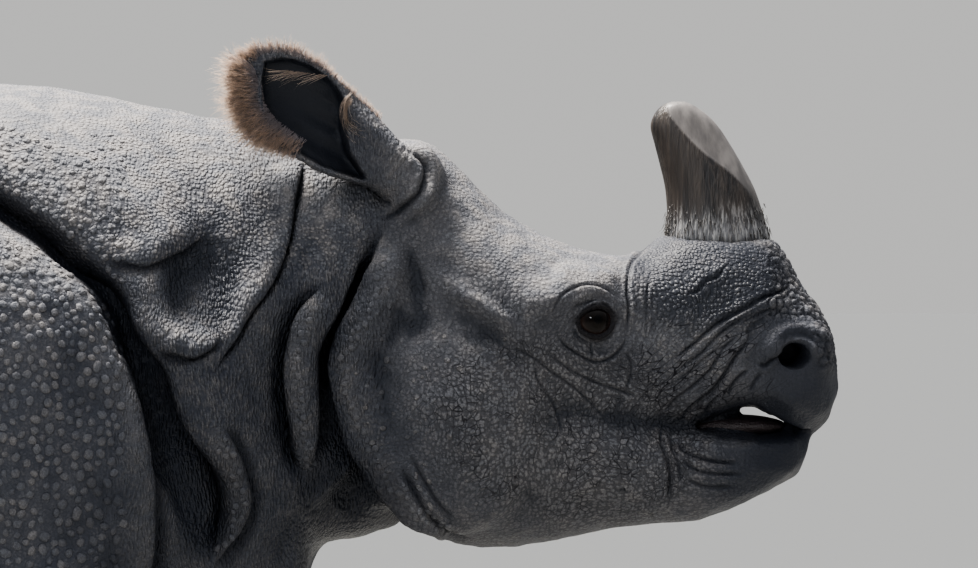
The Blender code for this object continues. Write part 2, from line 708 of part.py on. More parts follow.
def make_tail():
    around = 10
    angles = np.linspace(0, 2 * math.pi, around, endpoint=False)
    table = np.array(TAIL, float)
    run = np.concatenate([[0], np.cumsum(np.linalg.norm(np.diff(table[:, :3], axis=0), axis=1))])
    at = np.linspace(0, run[-1], 12)
    rows = np.stack([smooth_through(run, table[:, k], at) for k in range(4)], axis=1)
    centres = rows[:, :3]
    ways = np.gradient(centres, axis=0)
    ways /= np.linalg.norm(ways, axis=1)[:, None]
    rings = []
    for centre, way, radius in zip(centres, ways, rows[:, 3]):
        side = np.array((0.0, 1.0, 0.0))
        side -= way * side.dot(way)
        side /= np.linalg.norm(side)
        up = np.cross(way, side)
        rings.append(centre + radius * (np.cos(angles)[:, None] * side * 1.15
                                        + np.sin(angles)[:, None] * up))
    return add_object("tail", loft("tail", rings))


def make_nail(leg, nail, angle, half, height):
    """A broad rounded shield standing on the rim of the foot."""
    table = FORELEG if "front" in leg else HINDLEG
    side = -1 if "right" in leg else 1
    foot = table[-2]
    x, y, deep, wide = foot[1] + STRIDE[leg], foot[2], foot[3], foot[4]
    turn = math.radians(angle) * side
    out = Vector((math.cos(turn), math.sin(turn), 0))
    rim = Vector((x + (deep - 0.006) * out.x, side * y + (wide - 0.006) * out.y, 0))
    mesh = ellipsoid(nail, (0, 0, 0), (NAIL_THICKNESS, half, height), segments=8, rings=6)
    lean = Matrix.Rotation(math.radians(-14), 4, "Y")
    mesh.transform(Matrix.Translation(rim) @ Matrix.Rotation(turn, 4, "Z") @ lean)
    thing = add_object(f"nail_{leg[4:]}_{nail}", mesh)
    ground = cutter("ground", box("ground", (-4, -2, -1), (4, 2, NAIL_LIFT)))
    return combine(thing, ground, "DIFFERENCE")


def seat(host, solid, clearance=GAP):
    """Cuts the solid's seat out of the flesh that holds it."""
    return combine(host, swollen(solid, clearance), "DIFFERENCE")


def centre_on_floor(things):
    """Moves everything so that the middle of its box is over the origin."""
    corners = np.array([thing.matrix_world @ Vector(c) for thing in things for c in thing.bound_box])
    low = corners.min(axis=0)
    high = corners.max(axis=0)
    shift = Matrix.Translation((-(low[0] + high[0]) / 2, -(low[1] + high[1]) / 2, -low[2]))
    for thing in things:
        thing.data.transform(shift)


def finish(thing, finish_material):
    keep_shell(thing)
    thing.data.materials.clear()
    thing.data.materials.append(finish_material)
    thing.data.polygons.foreach_set("material_index", [0] * len(thing.data.polygons))
    thing.data.shade_smooth()
    thing.data.set_sharp_from_angle(angle=math.radians(50))


# ---------------------------------------------------------------- the animal
def build():
    global parts, tools
    clear_scene()
    parts = new_collection("rhinoceros")
    tools = new_collection("cutters")

    body = fused_body()
    carve_folds(body)
    thin_out(body)
    combine(body, cutter("floor", box("floor", (-4, -2, -1), (4, 2, 0))), "DIFFERENCE")

    flesh = {}
    for leg in STRIDE:
        flesh[leg] = part_off(body, leg, leg_block(leg, 0.0), leg_block(leg, GAP))
    flesh["head"] = part_off(body, "head", half_space("head_front", *HEAD_CUT),
                             half_space("head_rest", *HEAD_CUT, shift=-GAP))
    flesh["neck"] = part_off(body, "neck", half_space("neck_front", *NECK_CUT),
                             half_space("neck_rest", *NECK_CUT, shift=-GAP))
    flesh["trunk"] = copy_of(body, "trunk")

    horn = make_horn()
    eyes = [make_eye("eye_left", 1), make_eye("eye_right", -1)]
    ears = [make_ear("ear_left", 1), make_ear("ear_right", -1)]
    tail = make_tail()
    for solid in [horn] + eyes:
        seat(flesh["head"], solid)
    for solid in ears:
        seat(flesh["head"], solid, RIM_GAP)
        seat(flesh["neck"], solid, RIM_GAP)
    seat(flesh["trunk"], tail, RIM_GAP)

    combine(flesh["head"], mouth_cutter(), "DIFFERENCE")
    tongue = make_tongue()
    flesh["jaw"] = copy_of(flesh["head"], "jaw")
    keep_shell(flesh["head"], lambda shell: max(vert.co.z for vert in shell))
    keep_shell(flesh["jaw"], lambda shell: -max(vert.co.z for vert in shell))
    seat(flesh["head"], tongue)
    seat(flesh["jaw"], tongue)

    nails = []
    for leg in STRIDE:
        for nail, angle, half, height in NAILS:
            made = make_nail(leg, nail, angle, half, height)
            seat(flesh[leg], made)
            nails.append(made)

    hide = material("hide", *COLOURS["hide"])
    keratin = material("horn", *COLOURS["horn"])
    nail_horn = material("nail", *COLOURS["nail"])
    gloss = material("eye", *COLOURS["eye"])
    for thing in list(flesh.values()) + ears + [tail]:
        finish(thing, hide)
    finish(horn, keratin)
    finish(tongue, material("tongue", *COLOURS["tongue"]))
    for thing in nails:
        finish(thing, nail_horn)
    for thing in eyes:
        finish(thing, gloss)
    centre_on_floor(list(parts.objects))
    for thing in list(tools.objects):
        thing.hide_render = True
        thing.display_type = "WIRE"


build()
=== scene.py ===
"""A greater one-horned rhinoceros, standing still at life size: hide, lids, horn, nails and hair.

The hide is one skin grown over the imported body's flesh, then worked like clay:
folds, creases, lids, nostrils and lips are pressed into it, and small round
tubercles and hair are set on it as coats of their own.
Frame: +X forward, +Y the animal's left, +Z up, metres, floor at Z = 0.
"""
import math
from itertools import product

import bmesh
import bpy
import numpy as np
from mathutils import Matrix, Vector, noise
from mathutils.bvhtree import BVHTree


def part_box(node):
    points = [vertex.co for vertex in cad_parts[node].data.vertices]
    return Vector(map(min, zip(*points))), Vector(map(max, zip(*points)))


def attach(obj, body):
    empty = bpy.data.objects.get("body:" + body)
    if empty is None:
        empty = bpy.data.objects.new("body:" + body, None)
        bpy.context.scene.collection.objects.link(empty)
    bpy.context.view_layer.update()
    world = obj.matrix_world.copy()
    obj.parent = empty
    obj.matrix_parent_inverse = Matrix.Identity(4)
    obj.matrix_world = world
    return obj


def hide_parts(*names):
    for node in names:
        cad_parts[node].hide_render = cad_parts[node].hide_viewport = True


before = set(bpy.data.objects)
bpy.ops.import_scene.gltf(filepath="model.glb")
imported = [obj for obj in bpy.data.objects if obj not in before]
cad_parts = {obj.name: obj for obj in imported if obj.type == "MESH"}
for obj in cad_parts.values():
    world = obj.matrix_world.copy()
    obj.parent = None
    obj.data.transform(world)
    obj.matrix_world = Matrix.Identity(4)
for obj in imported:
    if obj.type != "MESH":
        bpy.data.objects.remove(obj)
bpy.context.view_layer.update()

# ---------------------------------------------------------------- sizes
MUZZLE_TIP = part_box("head")[1].x
SHIFT = MUZZLE_TIP - 1.625            # the tables below place the muzzle tip at 1.625
FLESH = ["head", "jaw", "neck", "trunk", "tail",
         "leg_front_left", "leg_front_right", "leg_hind_left", "leg_hind_right"]
EARS = ["ear_left", "ear_right"]
NAILS = [f"nail_{end}_{side}_{toe}" for end in ("front", "hind")
         for side in ("left", "right") for toe in ("inner", "middle", "outer")]
FLESH_SWELL = 0.0011                  # the hide's first skin lies this far over the flesh
GRAIN = 0.0062                        # size of the first mesh of the hide
SKIN_TRIANGLES = 188000
KEEP_FORCE = 2e-6                     # how strongly marked regions keep their mesh
WEIGHT_STEPS = 40                     # vertex weights are set in this many steps
LINE_POINTS = 60                      # points along each smooth line of a fold or crease

eye_low, eye_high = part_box("eye_right")
EYE = (eye_low + eye_high) / 2
EYE_RADIUS = (eye_high.x - eye_low.x) / 2
EYE_AXIS = Vector((0.30, -0.95, 0.06)).normalized()      # the way the right eye looks
LID_STOCK = 0.0030                    # flesh laid over each eye, from which the lids are cut
NOSTRIL = (1.555, 1.186)


# ---------------------------------------------------------------- small helpers
def deselect():
    bpy.ops.object.select_all(action="DESELECT")


def activate(thing):
    deselect()
    thing.select_set(True)
    bpy.context.view_layer.objects.active = thing


def apply_modifier(thing, kind, **settings):
    activate(thing)
    made = thing.modifiers.new(kind.lower(), kind)
    for key, value in settings.items():
        setattr(made, key, value)
    bpy.ops.object.modifier_apply(modifier=made.name)


def new_object(name, mesh):
    made = bpy.data.objects.new(name, mesh)
    bpy.context.scene.collection.objects.link(made)
    return made


def merged_copy(node, name, grow=0.0):
    """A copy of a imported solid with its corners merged, swollen a little if asked."""
    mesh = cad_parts[node].data.copy()
    mesh.materials.clear()
    shell = bmesh.new()
    shell.from_mesh(mesh)
    bmesh.ops.remove_doubles(shell, verts=shell.verts, dist=1e-5)
    shell.normal_update()
    if grow:
        for corner in shell.verts:
            corner.co += corner.normal * grow
    shell.to_mesh(mesh)
    shell.free()
    return new_object(name, mesh)


def join(name, things):
    deselect()
    for thing in things:
        thing.select_set(True)
    bpy.context.view_layer.objects.active = things[0]
    bpy.ops.object.join()
    things[0].name = name
    return things[0]


def column(things, key, width=3):
    """One array with this property of many vertices, faces or normals."""
    flat = np.empty(len(things) * width)
    things.foreach_get(key, flat)
    return flat.reshape(-1, width)


def places(mesh):
    return column(mesh.vertices, "co")


def put(mesh, points):
    mesh.vertices.foreach_set("co", np.ascontiguousarray(points, float).ravel())
    mesh.update()


def outward(mesh):
    return column(mesh.vertex_normals, "vector")


def unit(rows):
    return rows / np.linalg.norm(rows, axis=1)[:, None]


def weigh(thing, name, weights):
    """A vertex group with these weights, set in a few dozen steps."""
    group = thing.vertex_groups.new(name=name)
    steps = np.round(np.clip(weights, 0, 1) * WEIGHT_STEPS).astype(int)
    for step in range(1, WEIGHT_STEPS + 1):
        chosen = np.flatnonzero(steps == step)
        if len(chosen):
            group.add(chosen.tolist(), step / WEIGHT_STEPS, "REPLACE")
    return group.name


def ease(t):
    t = np.clip(t, 0.0, 1.0)
    return t * t * (3 - 2 * t)


def between(low, high, value):
    """0 below low, 1 above high, smooth between (either way round)."""
    return ease((value - low) / (high - low))


def bell(distance, width):
    return np.exp(-(distance / width) ** 2)


def curve_through(points, count=LINE_POINTS):
    """Evenly spaced points on a smooth curve through these."""
    points = np.asarray(points, float)
    ends = np.vstack([2 * points[0] - points[1], points, 2 * points[-1] - points[-2]])
    fine = []
    for i in range(1, len(ends) - 2):
        a, b, c, d = ends[i - 1], ends[i], ends[i + 1], ends[i + 2]
        for t in np.linspace(0, 1, 12, endpoint=False):
            fine.append(0.5 * (2 * b + (c - a) * t + (2 * a - 5 * b + 4 * c - d) * t * t
                               + (3 * b - a - 3 * c + d) * t ** 3))
    fine.append(points[-1])
    fine = np.array(fine)
    run = np.concatenate([[0], np.cumsum(np.linalg.norm(np.diff(fine, axis=0), axis=1))])
    at = np.linspace(0, run[-1], count)
    return np.stack([np.interp(at, run, fine[:, k]) for k in range(fine.shape[1])], axis=1), run[-1]


def beside(points, flat, reach, count=LINE_POINTS):
    """For places in the side view: signed distance to a smooth line (left of it is
    positive), how far along it they are in metres, and the line's run."""
    line, run = curve_through(points, count)
    distance = np.full(len(flat), reach * 4)
    along = np.zeros(len(flat))
    near = np.nonzero(((flat > line.min(0) - reach) & (flat < line.max(0) + reach)).all(1))[0]
    spots = flat[near]
    best = np.full(len(near), 1e9)
    signed = np.full(len(near), reach * 4)
    passed = np.zeros(len(near))
    for i in range(count - 1):
        a, step = line[i], line[i + 1] - line[i]
        size = np.hypot(*step)
        t = np.clip(((spots - a) @ step) / size ** 2, 0, 1)
        away = spots - a - t[:, None] * step
        gap = np.hypot(away[:, 0], away[:, 1])
        closer = gap < best
        best[closer] = gap[closer]
        cross = step[0] * away[:, 1] - step[1] * away[:, 0]
        signed[closer] = (np.where(cross >= 0, 1, -1) * gap)[closer]
        passed[closer] = ((i + t) / (count - 1) * run)[closer]
    distance[near] = signed
    along[near] = passed
    return distance, along, run


def tapered(along, run, fade):
    """1 along a line of this run, easing to 0 at both ends."""
    return between(0, fade, along) * between(run, run - fade, along)


def mark(mesh, name, values):
    layer = mesh.attributes.get(name) or mesh.attributes.new(name, "FLOAT", "POINT")
    layer.data.foreach_set("value", np.ascontiguousarray(values, np.float32))


def read_mark(mesh, name):
    values = np.empty(len(mesh.vertices), np.float32)
    mesh.attributes[name].data.foreach_get("value", values)
    return values


# ---------------------------------------------------------------- the folds of the hide
# Each is a line in the side view, read so that the overlapping flap is on its left.
# (points as (x, z), groove depth, groove width, roll height, roll width, tuck of the lip)
FOLDS = {
    "cheek_flap": ([(0.926, 1.392), (0.915, 1.358), (0.907, 1.324), (0.895, 1.285), (0.876, 1.242),
        (0.856, 1.208), (0.848, 1.180), (0.851, 1.149), (0.860, 1.110), (0.876, 1.060), (0.900, 1.017),
        (0.924, 0.978), (0.957, 0.944), (0.996, 0.916), (1.039, 0.893)],
        0.030, 0.018, 0.017, 0.022, 0.013),
    "neck_roll_rear": ([(0.834, 1.300), (0.811, 1.273), (0.791, 1.242), (0.777, 1.195), (0.776, 1.149),
        (0.783, 1.091), (0.791, 1.040), (0.797, 1.014), (0.800, 0.990)],
        0.024, 0.018, 0.015, 0.015, 0.009),
    "neck_roll_front": ([(0.808, 1.005), (0.817, 1.033), (0.821, 1.071), (0.822, 1.130), (0.830, 1.180),
        (0.841, 1.219), (0.855, 1.246), (0.872, 1.272), (0.884, 1.300)],
        0.012, 0.014, 0.008, 0.016, 0.003),
    "neck_middle": ([(0.668, 1.160), (0.690, 1.200), (0.717, 1.250), (0.755, 1.304), (0.776, 1.366),
        (0.786, 1.428), (0.796, 1.470), (0.801, 1.500)], 0.012, 0.008, 0.018, 0.018, 0.006),
    "lip_line": ([(1.492, 1.104), (1.518, 1.098), (1.545, 1.086), (1.566, 1.076), (1.584, 1.070)],
        0.018, 0.010, 0.004, 0.014, 0.004),
    "flap_ledge": ([(0.590, 1.204), (0.608, 1.196), (0.631, 1.186), (0.656, 1.198), (0.676, 1.214)],
        0.007, 0.010, 0.011, 0.014, 0.005),
    "shoulder_knot": ([(0.500, 1.340), (0.528, 1.332), (0.559, 1.324), (0.592, 1.334), (0.624, 1.350),
        (0.660, 1.376)], 0.004, 0.012, 0.003, 0.018, 0.002),
    "before_shoulder": ([(0.100, 1.545), (0.220, 1.498), (0.326, 1.448), (0.368, 1.424), (0.414, 1.394),
        (0.455, 1.358), (0.494, 1.324), (0.522, 1.302), (0.538, 1.276), (0.559, 1.226), (0.592, 1.182),
        (0.606, 1.158), (0.613, 1.126), (0.631, 1.079), (0.655, 1.048), (0.675, 1.020), (0.689, 0.978),
        (0.691, 0.940), (0.676, 0.900), (0.650, 0.860)], 0.032, 0.034, 0.024, 0.024, 0.016),
    "flap_front": ([(0.660, 0.862), (0.684, 0.885), (0.709, 0.921), (0.721, 0.963), (0.717, 0.998),
        (0.698, 1.052), (0.676, 1.090)], 0.012, 0.016, 0.006, 0.012, 0.003),
    "shield_front": ([(0.548, 0.790), (0.570, 0.846), (0.580, 0.901), (0.582, 0.978), (0.574, 1.037),
        (0.559, 1.110), (0.543, 1.172), (0.518, 1.242), (0.476, 1.306), (0.420, 1.372)],
        0.010, 0.022, 0.010, 0.024, 0.003),
    "behind_shoulder": ([(0.020, 1.600), (0.000, 1.400), (0.030, 1.150), (0.060, 0.950), (0.110, 0.800)],
        0.032, 0.026, 0.016, 0.040, 0.010),
    "before_haunch": ([(-0.800, 1.620), (-0.790, 1.400), (-0.760, 1.150), (-0.740, 0.950),
        (-0.720, 0.780)], 0.032, 0.026, 0.016, 0.040, 0.010),
    "below_haunch": ([(-1.560, 1.020), (-1.400, 0.985), (-1.200, 0.930), (-1.020, 0.905)],
        0.022, 0.022, 0.012, 0.030, 0.006),
    "beside_tail": ([(-1.570, 1.330), (-1.440, 1.285), (-1.300, 1.245), (-1.160, 1.225)],
        0.018, 0.020, 0.010, 0.030, 0.005),
    "foreleg_top": ([(0.120, 0.760), (0.300, 0.735), (0.480, 0.770)], 0.014, 0.022, 0.012, 0.030, 0.008),
    "hindleg_top": ([(-1.380, 0.700), (-1.150, 0.690), (-0.860, 0.760)],
        0.022, 0.022, 0.012, 0.030, 0.008),
}
# Long hollows (negative) and ridges (positive): (points, height, width at the start, width at the end)
TROUGHS = {
    "under_flap": ([(0.440, 1.340), (0.500, 1.282), (0.545, 1.200), (0.580, 1.118), (0.602, 1.050),
        (0.632, 0.985), (0.642, 0.930), (0.622, 0.868)], -0.030, 0.012, 0.030),
    "behind_cheek": ([(0.903, 1.345), (0.894, 1.288), (0.868, 1.238), (0.842, 1.190), (0.836, 1.149),
        (0.840, 1.102), (0.850, 1.056), (0.872, 1.010)], -0.027, 0.010, 0.024),
    "cheek_valley": ([(0.954, 1.362), (0.972, 1.304), (0.978, 1.250), (0.960, 1.205)],
        -0.010, 0.012, 0.018),
    "cheek_ridge": ([(0.930, 1.350), (0.938, 1.300), (0.934, 1.255)], 0.006, 0.012, 0.016),
    "throat_ridge": ([(0.806, 0.962), (0.848, 1.000), (0.884, 1.036)], 0.009, 0.012, 0.008),
    "throat_hollow": ([(0.850, 0.950), (0.885, 0.985), (0.915, 1.000)], -0.014, 0.026, 0.020),
    "nostril_roof": ([(1.510, 1.172), (1.513, 1.198), (1.529, 1.219), (1.551, 1.229), (1.575, 1.226),
        (1.596, 1.211), (1.606, 1.184)], 0.0095, 0.0110, 0.0100),
    "above_wing": ([(1.478, 1.205), (1.492, 1.232), (1.520, 1.252), (1.552, 1.256)],
        -0.005, 0.010, 0.008),
    "brow": ([(1.178, 1.300), (1.215, 1.318), (1.262, 1.314), (1.292, 1.292)], 0.006, 0.014, 0.010),
    "lower_lip_roll": ([(1.400, 1.050), (1.450, 1.042), (1.520, 1.045), (1.565, 1.055)],
        0.005, 0.012, 0.012),
    "upper_lip_roll": ([(1.420, 1.108), (1.460, 1.128), (1.500, 1.136), (1.540, 1.126), (1.575, 1.104)],
        0.005, 0.012, 0.014),
    "jaw_side": ([(1.100, 0.990), (1.180, 0.960), (1.260, 0.955), (1.330, 0.965)], -0.006, 0.030, 0.020),
}
# Narrow creases pressed into the head and neck: (points, depth, width, swelling beside it)
CREASES = {
    "ear_root": ([(0.950, 1.512), (0.978, 1.492), (0.990, 1.470), (0.978, 1.436), (0.945, 1.408),
        (0.915, 1.392)], 0.012, 0.0060, 0.004),
    "eye_ring_top": ([(1.180, 1.240), (1.187, 1.268), (1.206, 1.288), (1.236, 1.297), (1.266, 1.290),
        (1.288, 1.270)], 0.0026, 0.0022, 0.0008),
    "eye_ring_bottom": ([(1.182, 1.228), (1.201, 1.204), (1.226, 1.187), (1.250, 1.178), (1.274, 1.186),
        (1.291, 1.206), (1.297, 1.230)], 0.0045, 0.0026, 0.0016),
    "upper_lid": ([(1.208, 1.252), (1.220, 1.268), (1.243, 1.276), (1.266, 1.268), (1.280, 1.252)],
        0.0030, 0.0024, 0.0012),
    "lower_lid": ([(1.208, 1.232), (1.222, 1.214), (1.244, 1.207), (1.266, 1.214), (1.280, 1.228)],
        0.0024, 0.0024, 0.0010),
    "boss_rear": ([(1.372, 1.376), (1.345, 1.354), (1.318, 1.342), (1.302, 1.325), (1.297, 1.290),
        (1.299, 1.255), (1.294, 1.212)], 0.0046, 0.0026, 0.0022),
    "boss_side": ([(1.338, 1.322), (1.328, 1.290), (1.326, 1.246), (1.325, 1.206)],
        0.0022, 0.0020, 0.0006),
    "snout_long": ([(1.560, 1.300), (1.535, 1.286), (1.505, 1.276), (1.481, 1.262), (1.434, 1.236),
        (1.396, 1.204), (1.350, 1.168)], 0.0052, 0.0032, 0.0018),
    "snout_upper": ([(1.452, 1.322), (1.436, 1.306), (1.418, 1.300), (1.404, 1.286), (1.386, 1.282)],
        0.0038, 0.0024, 0.0010),
    "snout_mid": ([(1.506, 1.256), (1.470, 1.242), (1.440, 1.222), (1.408, 1.190), (1.366, 1.160)],
        0.0042, 0.0028, 0.0012),
    "snout_low": ([(1.495, 1.226), (1.480, 1.206), (1.464, 1.186), (1.450, 1.164), (1.430, 1.136),
        (1.412, 1.120), (1.392, 1.104), (1.376, 1.080)], 0.0072, 0.0036, 0.0026),
    "snout_lower": ([(1.462, 1.218), (1.440, 1.192), (1.424, 1.166), (1.400, 1.142), (1.374, 1.122),
        (1.346, 1.092)], 0.0046, 0.0028, 0.0014),
    "snout_fine_a": ([(1.476, 1.228), (1.452, 1.206), (1.424, 1.190), (1.398, 1.168), (1.362, 1.140)],
        0.0030, 0.0024, 0.0008),
    "snout_fine_b": ([(1.520, 1.262), (1.490, 1.246), (1.462, 1.232)], 0.0032, 0.0024, 0.0010),
    "lip_corner_a": ([(1.486, 1.168), (1.468, 1.154), (1.456, 1.138), (1.453, 1.120)],
        0.0052, 0.0030, 0.0016),
    "lip_corner_b": ([(1.504, 1.162), (1.492, 1.146), (1.484, 1.130)], 0.0042, 0.0028, 0.0012),
    "lip_corner_c": ([(1.438, 1.126), (1.424, 1.112), (1.416, 1.094)], 0.0040, 0.0028, 0.0010),
    "under_eye_a": ([(1.240, 1.208), (1.241, 1.196), (1.243, 1.182)], 0.0024, 0.0026, 0.0005),
    "under_eye_b": ([(1.160, 1.205), (1.200, 1.172), (1.240, 1.150), (1.290, 1.132), (1.330, 1.118)],
        0.0034, 0.0026, 0.0008),
    "under_eye_c": ([(1.290, 1.196), (1.302, 1.176), (1.300, 1.150), (1.288, 1.128)],
        0.0034, 0.0026, 0.0008),
    "cheek_long": ([(1.105, 1.212), (1.117, 1.203), (1.150, 1.186), (1.179, 1.164), (1.225, 1.130),
        (1.268, 1.085)], 0.0036, 0.0026, 0.0008),
    "cheek_branch": ([(1.150, 1.186), (1.160, 1.150), (1.185, 1.110), (1.200, 1.060)],
        0.0030, 0.0026, 0.0006),
    "corner_down": ([(1.352, 1.082), (1.350, 1.053), (1.360, 1.022), (1.363, 0.994), (1.356, 0.955)],
        0.0062, 0.0034, 0.0022),
    "corner_inner": ([(1.366, 1.068), (1.366, 1.046), (1.376, 1.020), (1.380, 0.990)],
        0.0044, 0.0030, 0.0014),
    "chin_arc_a": ([(1.370, 1.062), (1.384, 1.042), (1.406, 1.031), (1.434, 1.024), (1.473, 1.020)],
        0.0056, 0.0032, 0.0020),
    "chin_arc_b": ([(1.374, 1.036), (1.398, 1.014), (1.434, 1.005), (1.484, 1.004)],
        0.0046, 0.0030, 0.0016),
    "chin_arc_c": ([(1.385, 0.998), (1.420, 0.986), (1.466, 0.984)], 0.0042, 0.0030, 0.0012),
    "jaw_hem": ([(0.946, 1.026), (0.966, 0.989), (0.990, 0.947), (1.024, 0.914), (1.064, 0.902)],
        0.0080, 0.0050, 0.0040),
    "jaw_hem_b": ([(0.962, 1.040), (0.984, 1.000), (1.008, 0.962), (1.036, 0.930)],
        0.0040, 0.0036, 0.0014),
    "nostril_tail": ([(1.538, 1.196), (1.520, 1.182), (1.507, 1.172), (1.500, 1.180)],
        0.0060, 0.0032, 0.0030),
}
# Broad swellings and hollows, both sides: (x, z, half length, half height, turn in degrees, height)
SWELLINGS = {
    "cheekbone": (1.075, 1.262, 0.058, 0.014, -34, 0.016),
    "under_cheekbone": (1.080, 1.222, 0.075, 0.022, -34, -0.006),
    "temple": (1.010, 1.345, 0.050, 0.060, 0, -0.006),
    "cheek": (1.030, 1.090, 0.110, 0.130, 0, 0.010),
    "nostril_front": (1.592, 1.190, 0.016, 0.034, 0, 0.006),
    "under_nostril": (1.560, 1.145, 0.040, 0.022, 0, 0.004),
    "upper_lip": (1.562, 1.122, 0.036, 0.028, -20, 0.012),
    "lip_fold": (1.500, 1.132, 0.030, 0.014, 30, 0.004),
    "lip_corner": (1.376, 1.076, 0.016, 0.014, 0, -0.004),
    "boss": (1.440, 1.310, 0.085, 0.034, 0, 0.004),
    "throat_hump": (0.850, 0.928, 0.050, 0.026, -20, 0.012),
    "bib": (0.790, 0.950, 0.030, 0.060, 12, 0.014),
    "neck_pillow": (0.715, 1.330, 0.040, 0.070, -24, 0.010),
    "neck_hollow": (0.640, 1.318, 0.066, 0.046, 40, -0.030),
    "neck_hollow_low": (0.606, 1.262, 0.034, 0.036, 0, -0.014),
    "knot": (0.585, 1.356, 0.060, 0.030, 16, 0.006),
}


def side_view(points):
    return np.stack([points[:, 0] - SHIFT, points[:, 2]], axis=1)


def in_oval(flat, x, z, length, height, turn=0.0):
    """Where each point lies in a turned oval: along it and across it, 1 at its edge."""
    a = math.radians(turn)
    dx, dz = flat[:, 0] - x, flat[:, 1] - z
    return ((dx * math.cos(a) + dz * math.sin(a)) / length,
            (-dx * math.sin(a) + dz * math.cos(a)) / height)


# ---------------------------------------------------------------- the hide, grown over the flesh
def ball(name, centre, radii, rings=24, segments=32):
    deselect()
    bpy.ops.mesh.primitive_uv_sphere_add(segments=segments, ring_count=rings, radius=1.0, location=centre)
    made = bpy.context.object
    made.name = name
    made.scale = radii
    bpy.ops.object.transform_apply(location=True, rotation=True, scale=True)
    return made


# Flesh that closes the gaps behind the lips: (name, x, z, radii)
MOUTH_STOCK = [("palate", 1.566, 1.106, (0.044, 0.050, 0.036)),
               ("gum", 1.450, 1.071, (0.052, 0.044, 0.029))]


def grow_hide():
    """One closed skin over all the flesh, with the seats of eyes, horn and nails filled."""
    stock = [merged_copy(node, "flesh_" + node, FLESH_SWELL) for node in FLESH]
    for node in ("eye_left", "eye_right"):
        low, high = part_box(node)
        stock.append(ball("lid_stock_" + node, (low + high) / 2, [EYE_RADIUS + LID_STOCK] * 3))
    for side in (1, -1):
        root, along, _, _ = ear_axes(side)
        stock.append(ball("ear_seat", root - along * 0.016, (0.040, 0.040, 0.040)))
    for name, x, z, radii in MOUTH_STOCK:
        stock.append(ball(name, (x + SHIFT, 0, z), radii))
    low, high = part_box("horn")
    stock.append(ball("horn_seat", ((low.x + high.x) / 2 - 0.010, 0, low.z + 0.006),
                      ((high.x - low.x) * 0.44, (high.y - low.y) * 0.47, 0.030)))
    for node in NAILS:
        low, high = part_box(node)
        centre = np.array((low + high) / 2)
        plug = merged_copy(node, "plug_" + node)
        put(plug.data, centre + (places(plug.data) - centre) * 0.90)
        stock.append(plug)
    hide = join("hide", stock)
    apply_modifier(hide, "REMESH", mode="VOXEL", voxel_size=GRAIN, adaptivity=0.0)
    return hide


def melt_facets(hide):
    """Smooths the hide, strongly on the body and lightly on the head and feet."""
    points = places(hide.data)
    x, z = points[:, 0] - SHIFT, points[:, 2]
    head = between(0.86, 0.96, x)
    feet = between(0.10, 0.03, z)
    lips = between(1.33, 1.38, x) * between(1.16, 1.12, z)
    body = (1 - head) * (1 - feet)
    group = weigh(hide, "body", body)
    apply_modifier(hide, "SMOOTH", iterations=180, factor=0.5, vertex_group=group)
    group = weigh(hide, "head", head * (1 - 0.75 * lips) + feet * 0.4)
    apply_modifier(hide, "SMOOTH", iterations=16, factor=0.5, vertex_group=group)
    hide.vertex_groups.clear()


def split_faces(hide, chosen_faces):
    """Cuts the chosen faces into four."""
    mesh = hide.data
    activate(hide)
    bpy.ops.object.mode_set(mode="EDIT")
    bpy.ops.mesh.select_mode(type="FACE")
    bpy.ops.mesh.select_all(action="DESELECT")
    bpy.ops.object.mode_set(mode="OBJECT")
    mesh.polygons.foreach_set("select", chosen_faces)
    bpy.ops.object.mode_set(mode="EDIT")
    bpy.ops.mesh.subdivide(number_cuts=1, smoothness=0.0)
    bpy.ops.object.mode_set(mode="OBJECT")


def refine(hide):
    """Gives the hide finer mesh where it is worked: folds, head, eyes, nostrils and lips."""
    centres = column(hide.data.polygons, "center")
    flat = side_view(centres)
    near_fold = np.zeros(len(centres), bool)
    for points, *_ in FOLDS.values():
        near_fold |= np.abs(beside(points, flat, 0.05)[0]) < 0.034
    split_faces(hide, near_fold | (flat[:, 0] > 0.88))
    for reach in (0.060, 0.042):
        centres = column(hide.data.polygons, "center")
        eye = np.minimum(np.linalg.norm(centres - np.array(EYE), axis=1),
                         np.linalg.norm(centres - np.array(EYE) * (1, -1, 1), axis=1))
        flat = side_view(centres)
        chosen = eye < reach
        if reach > 0.05:
            chosen |= np.hypot(flat[:, 0] - 1.552, flat[:, 1] - 1.188) < 0.040
            for points, *_ in CREASES.values():
                chosen |= np.abs(beside(points, flat, 0.03)[0]) < 0.008
        split_faces(hide, chosen)


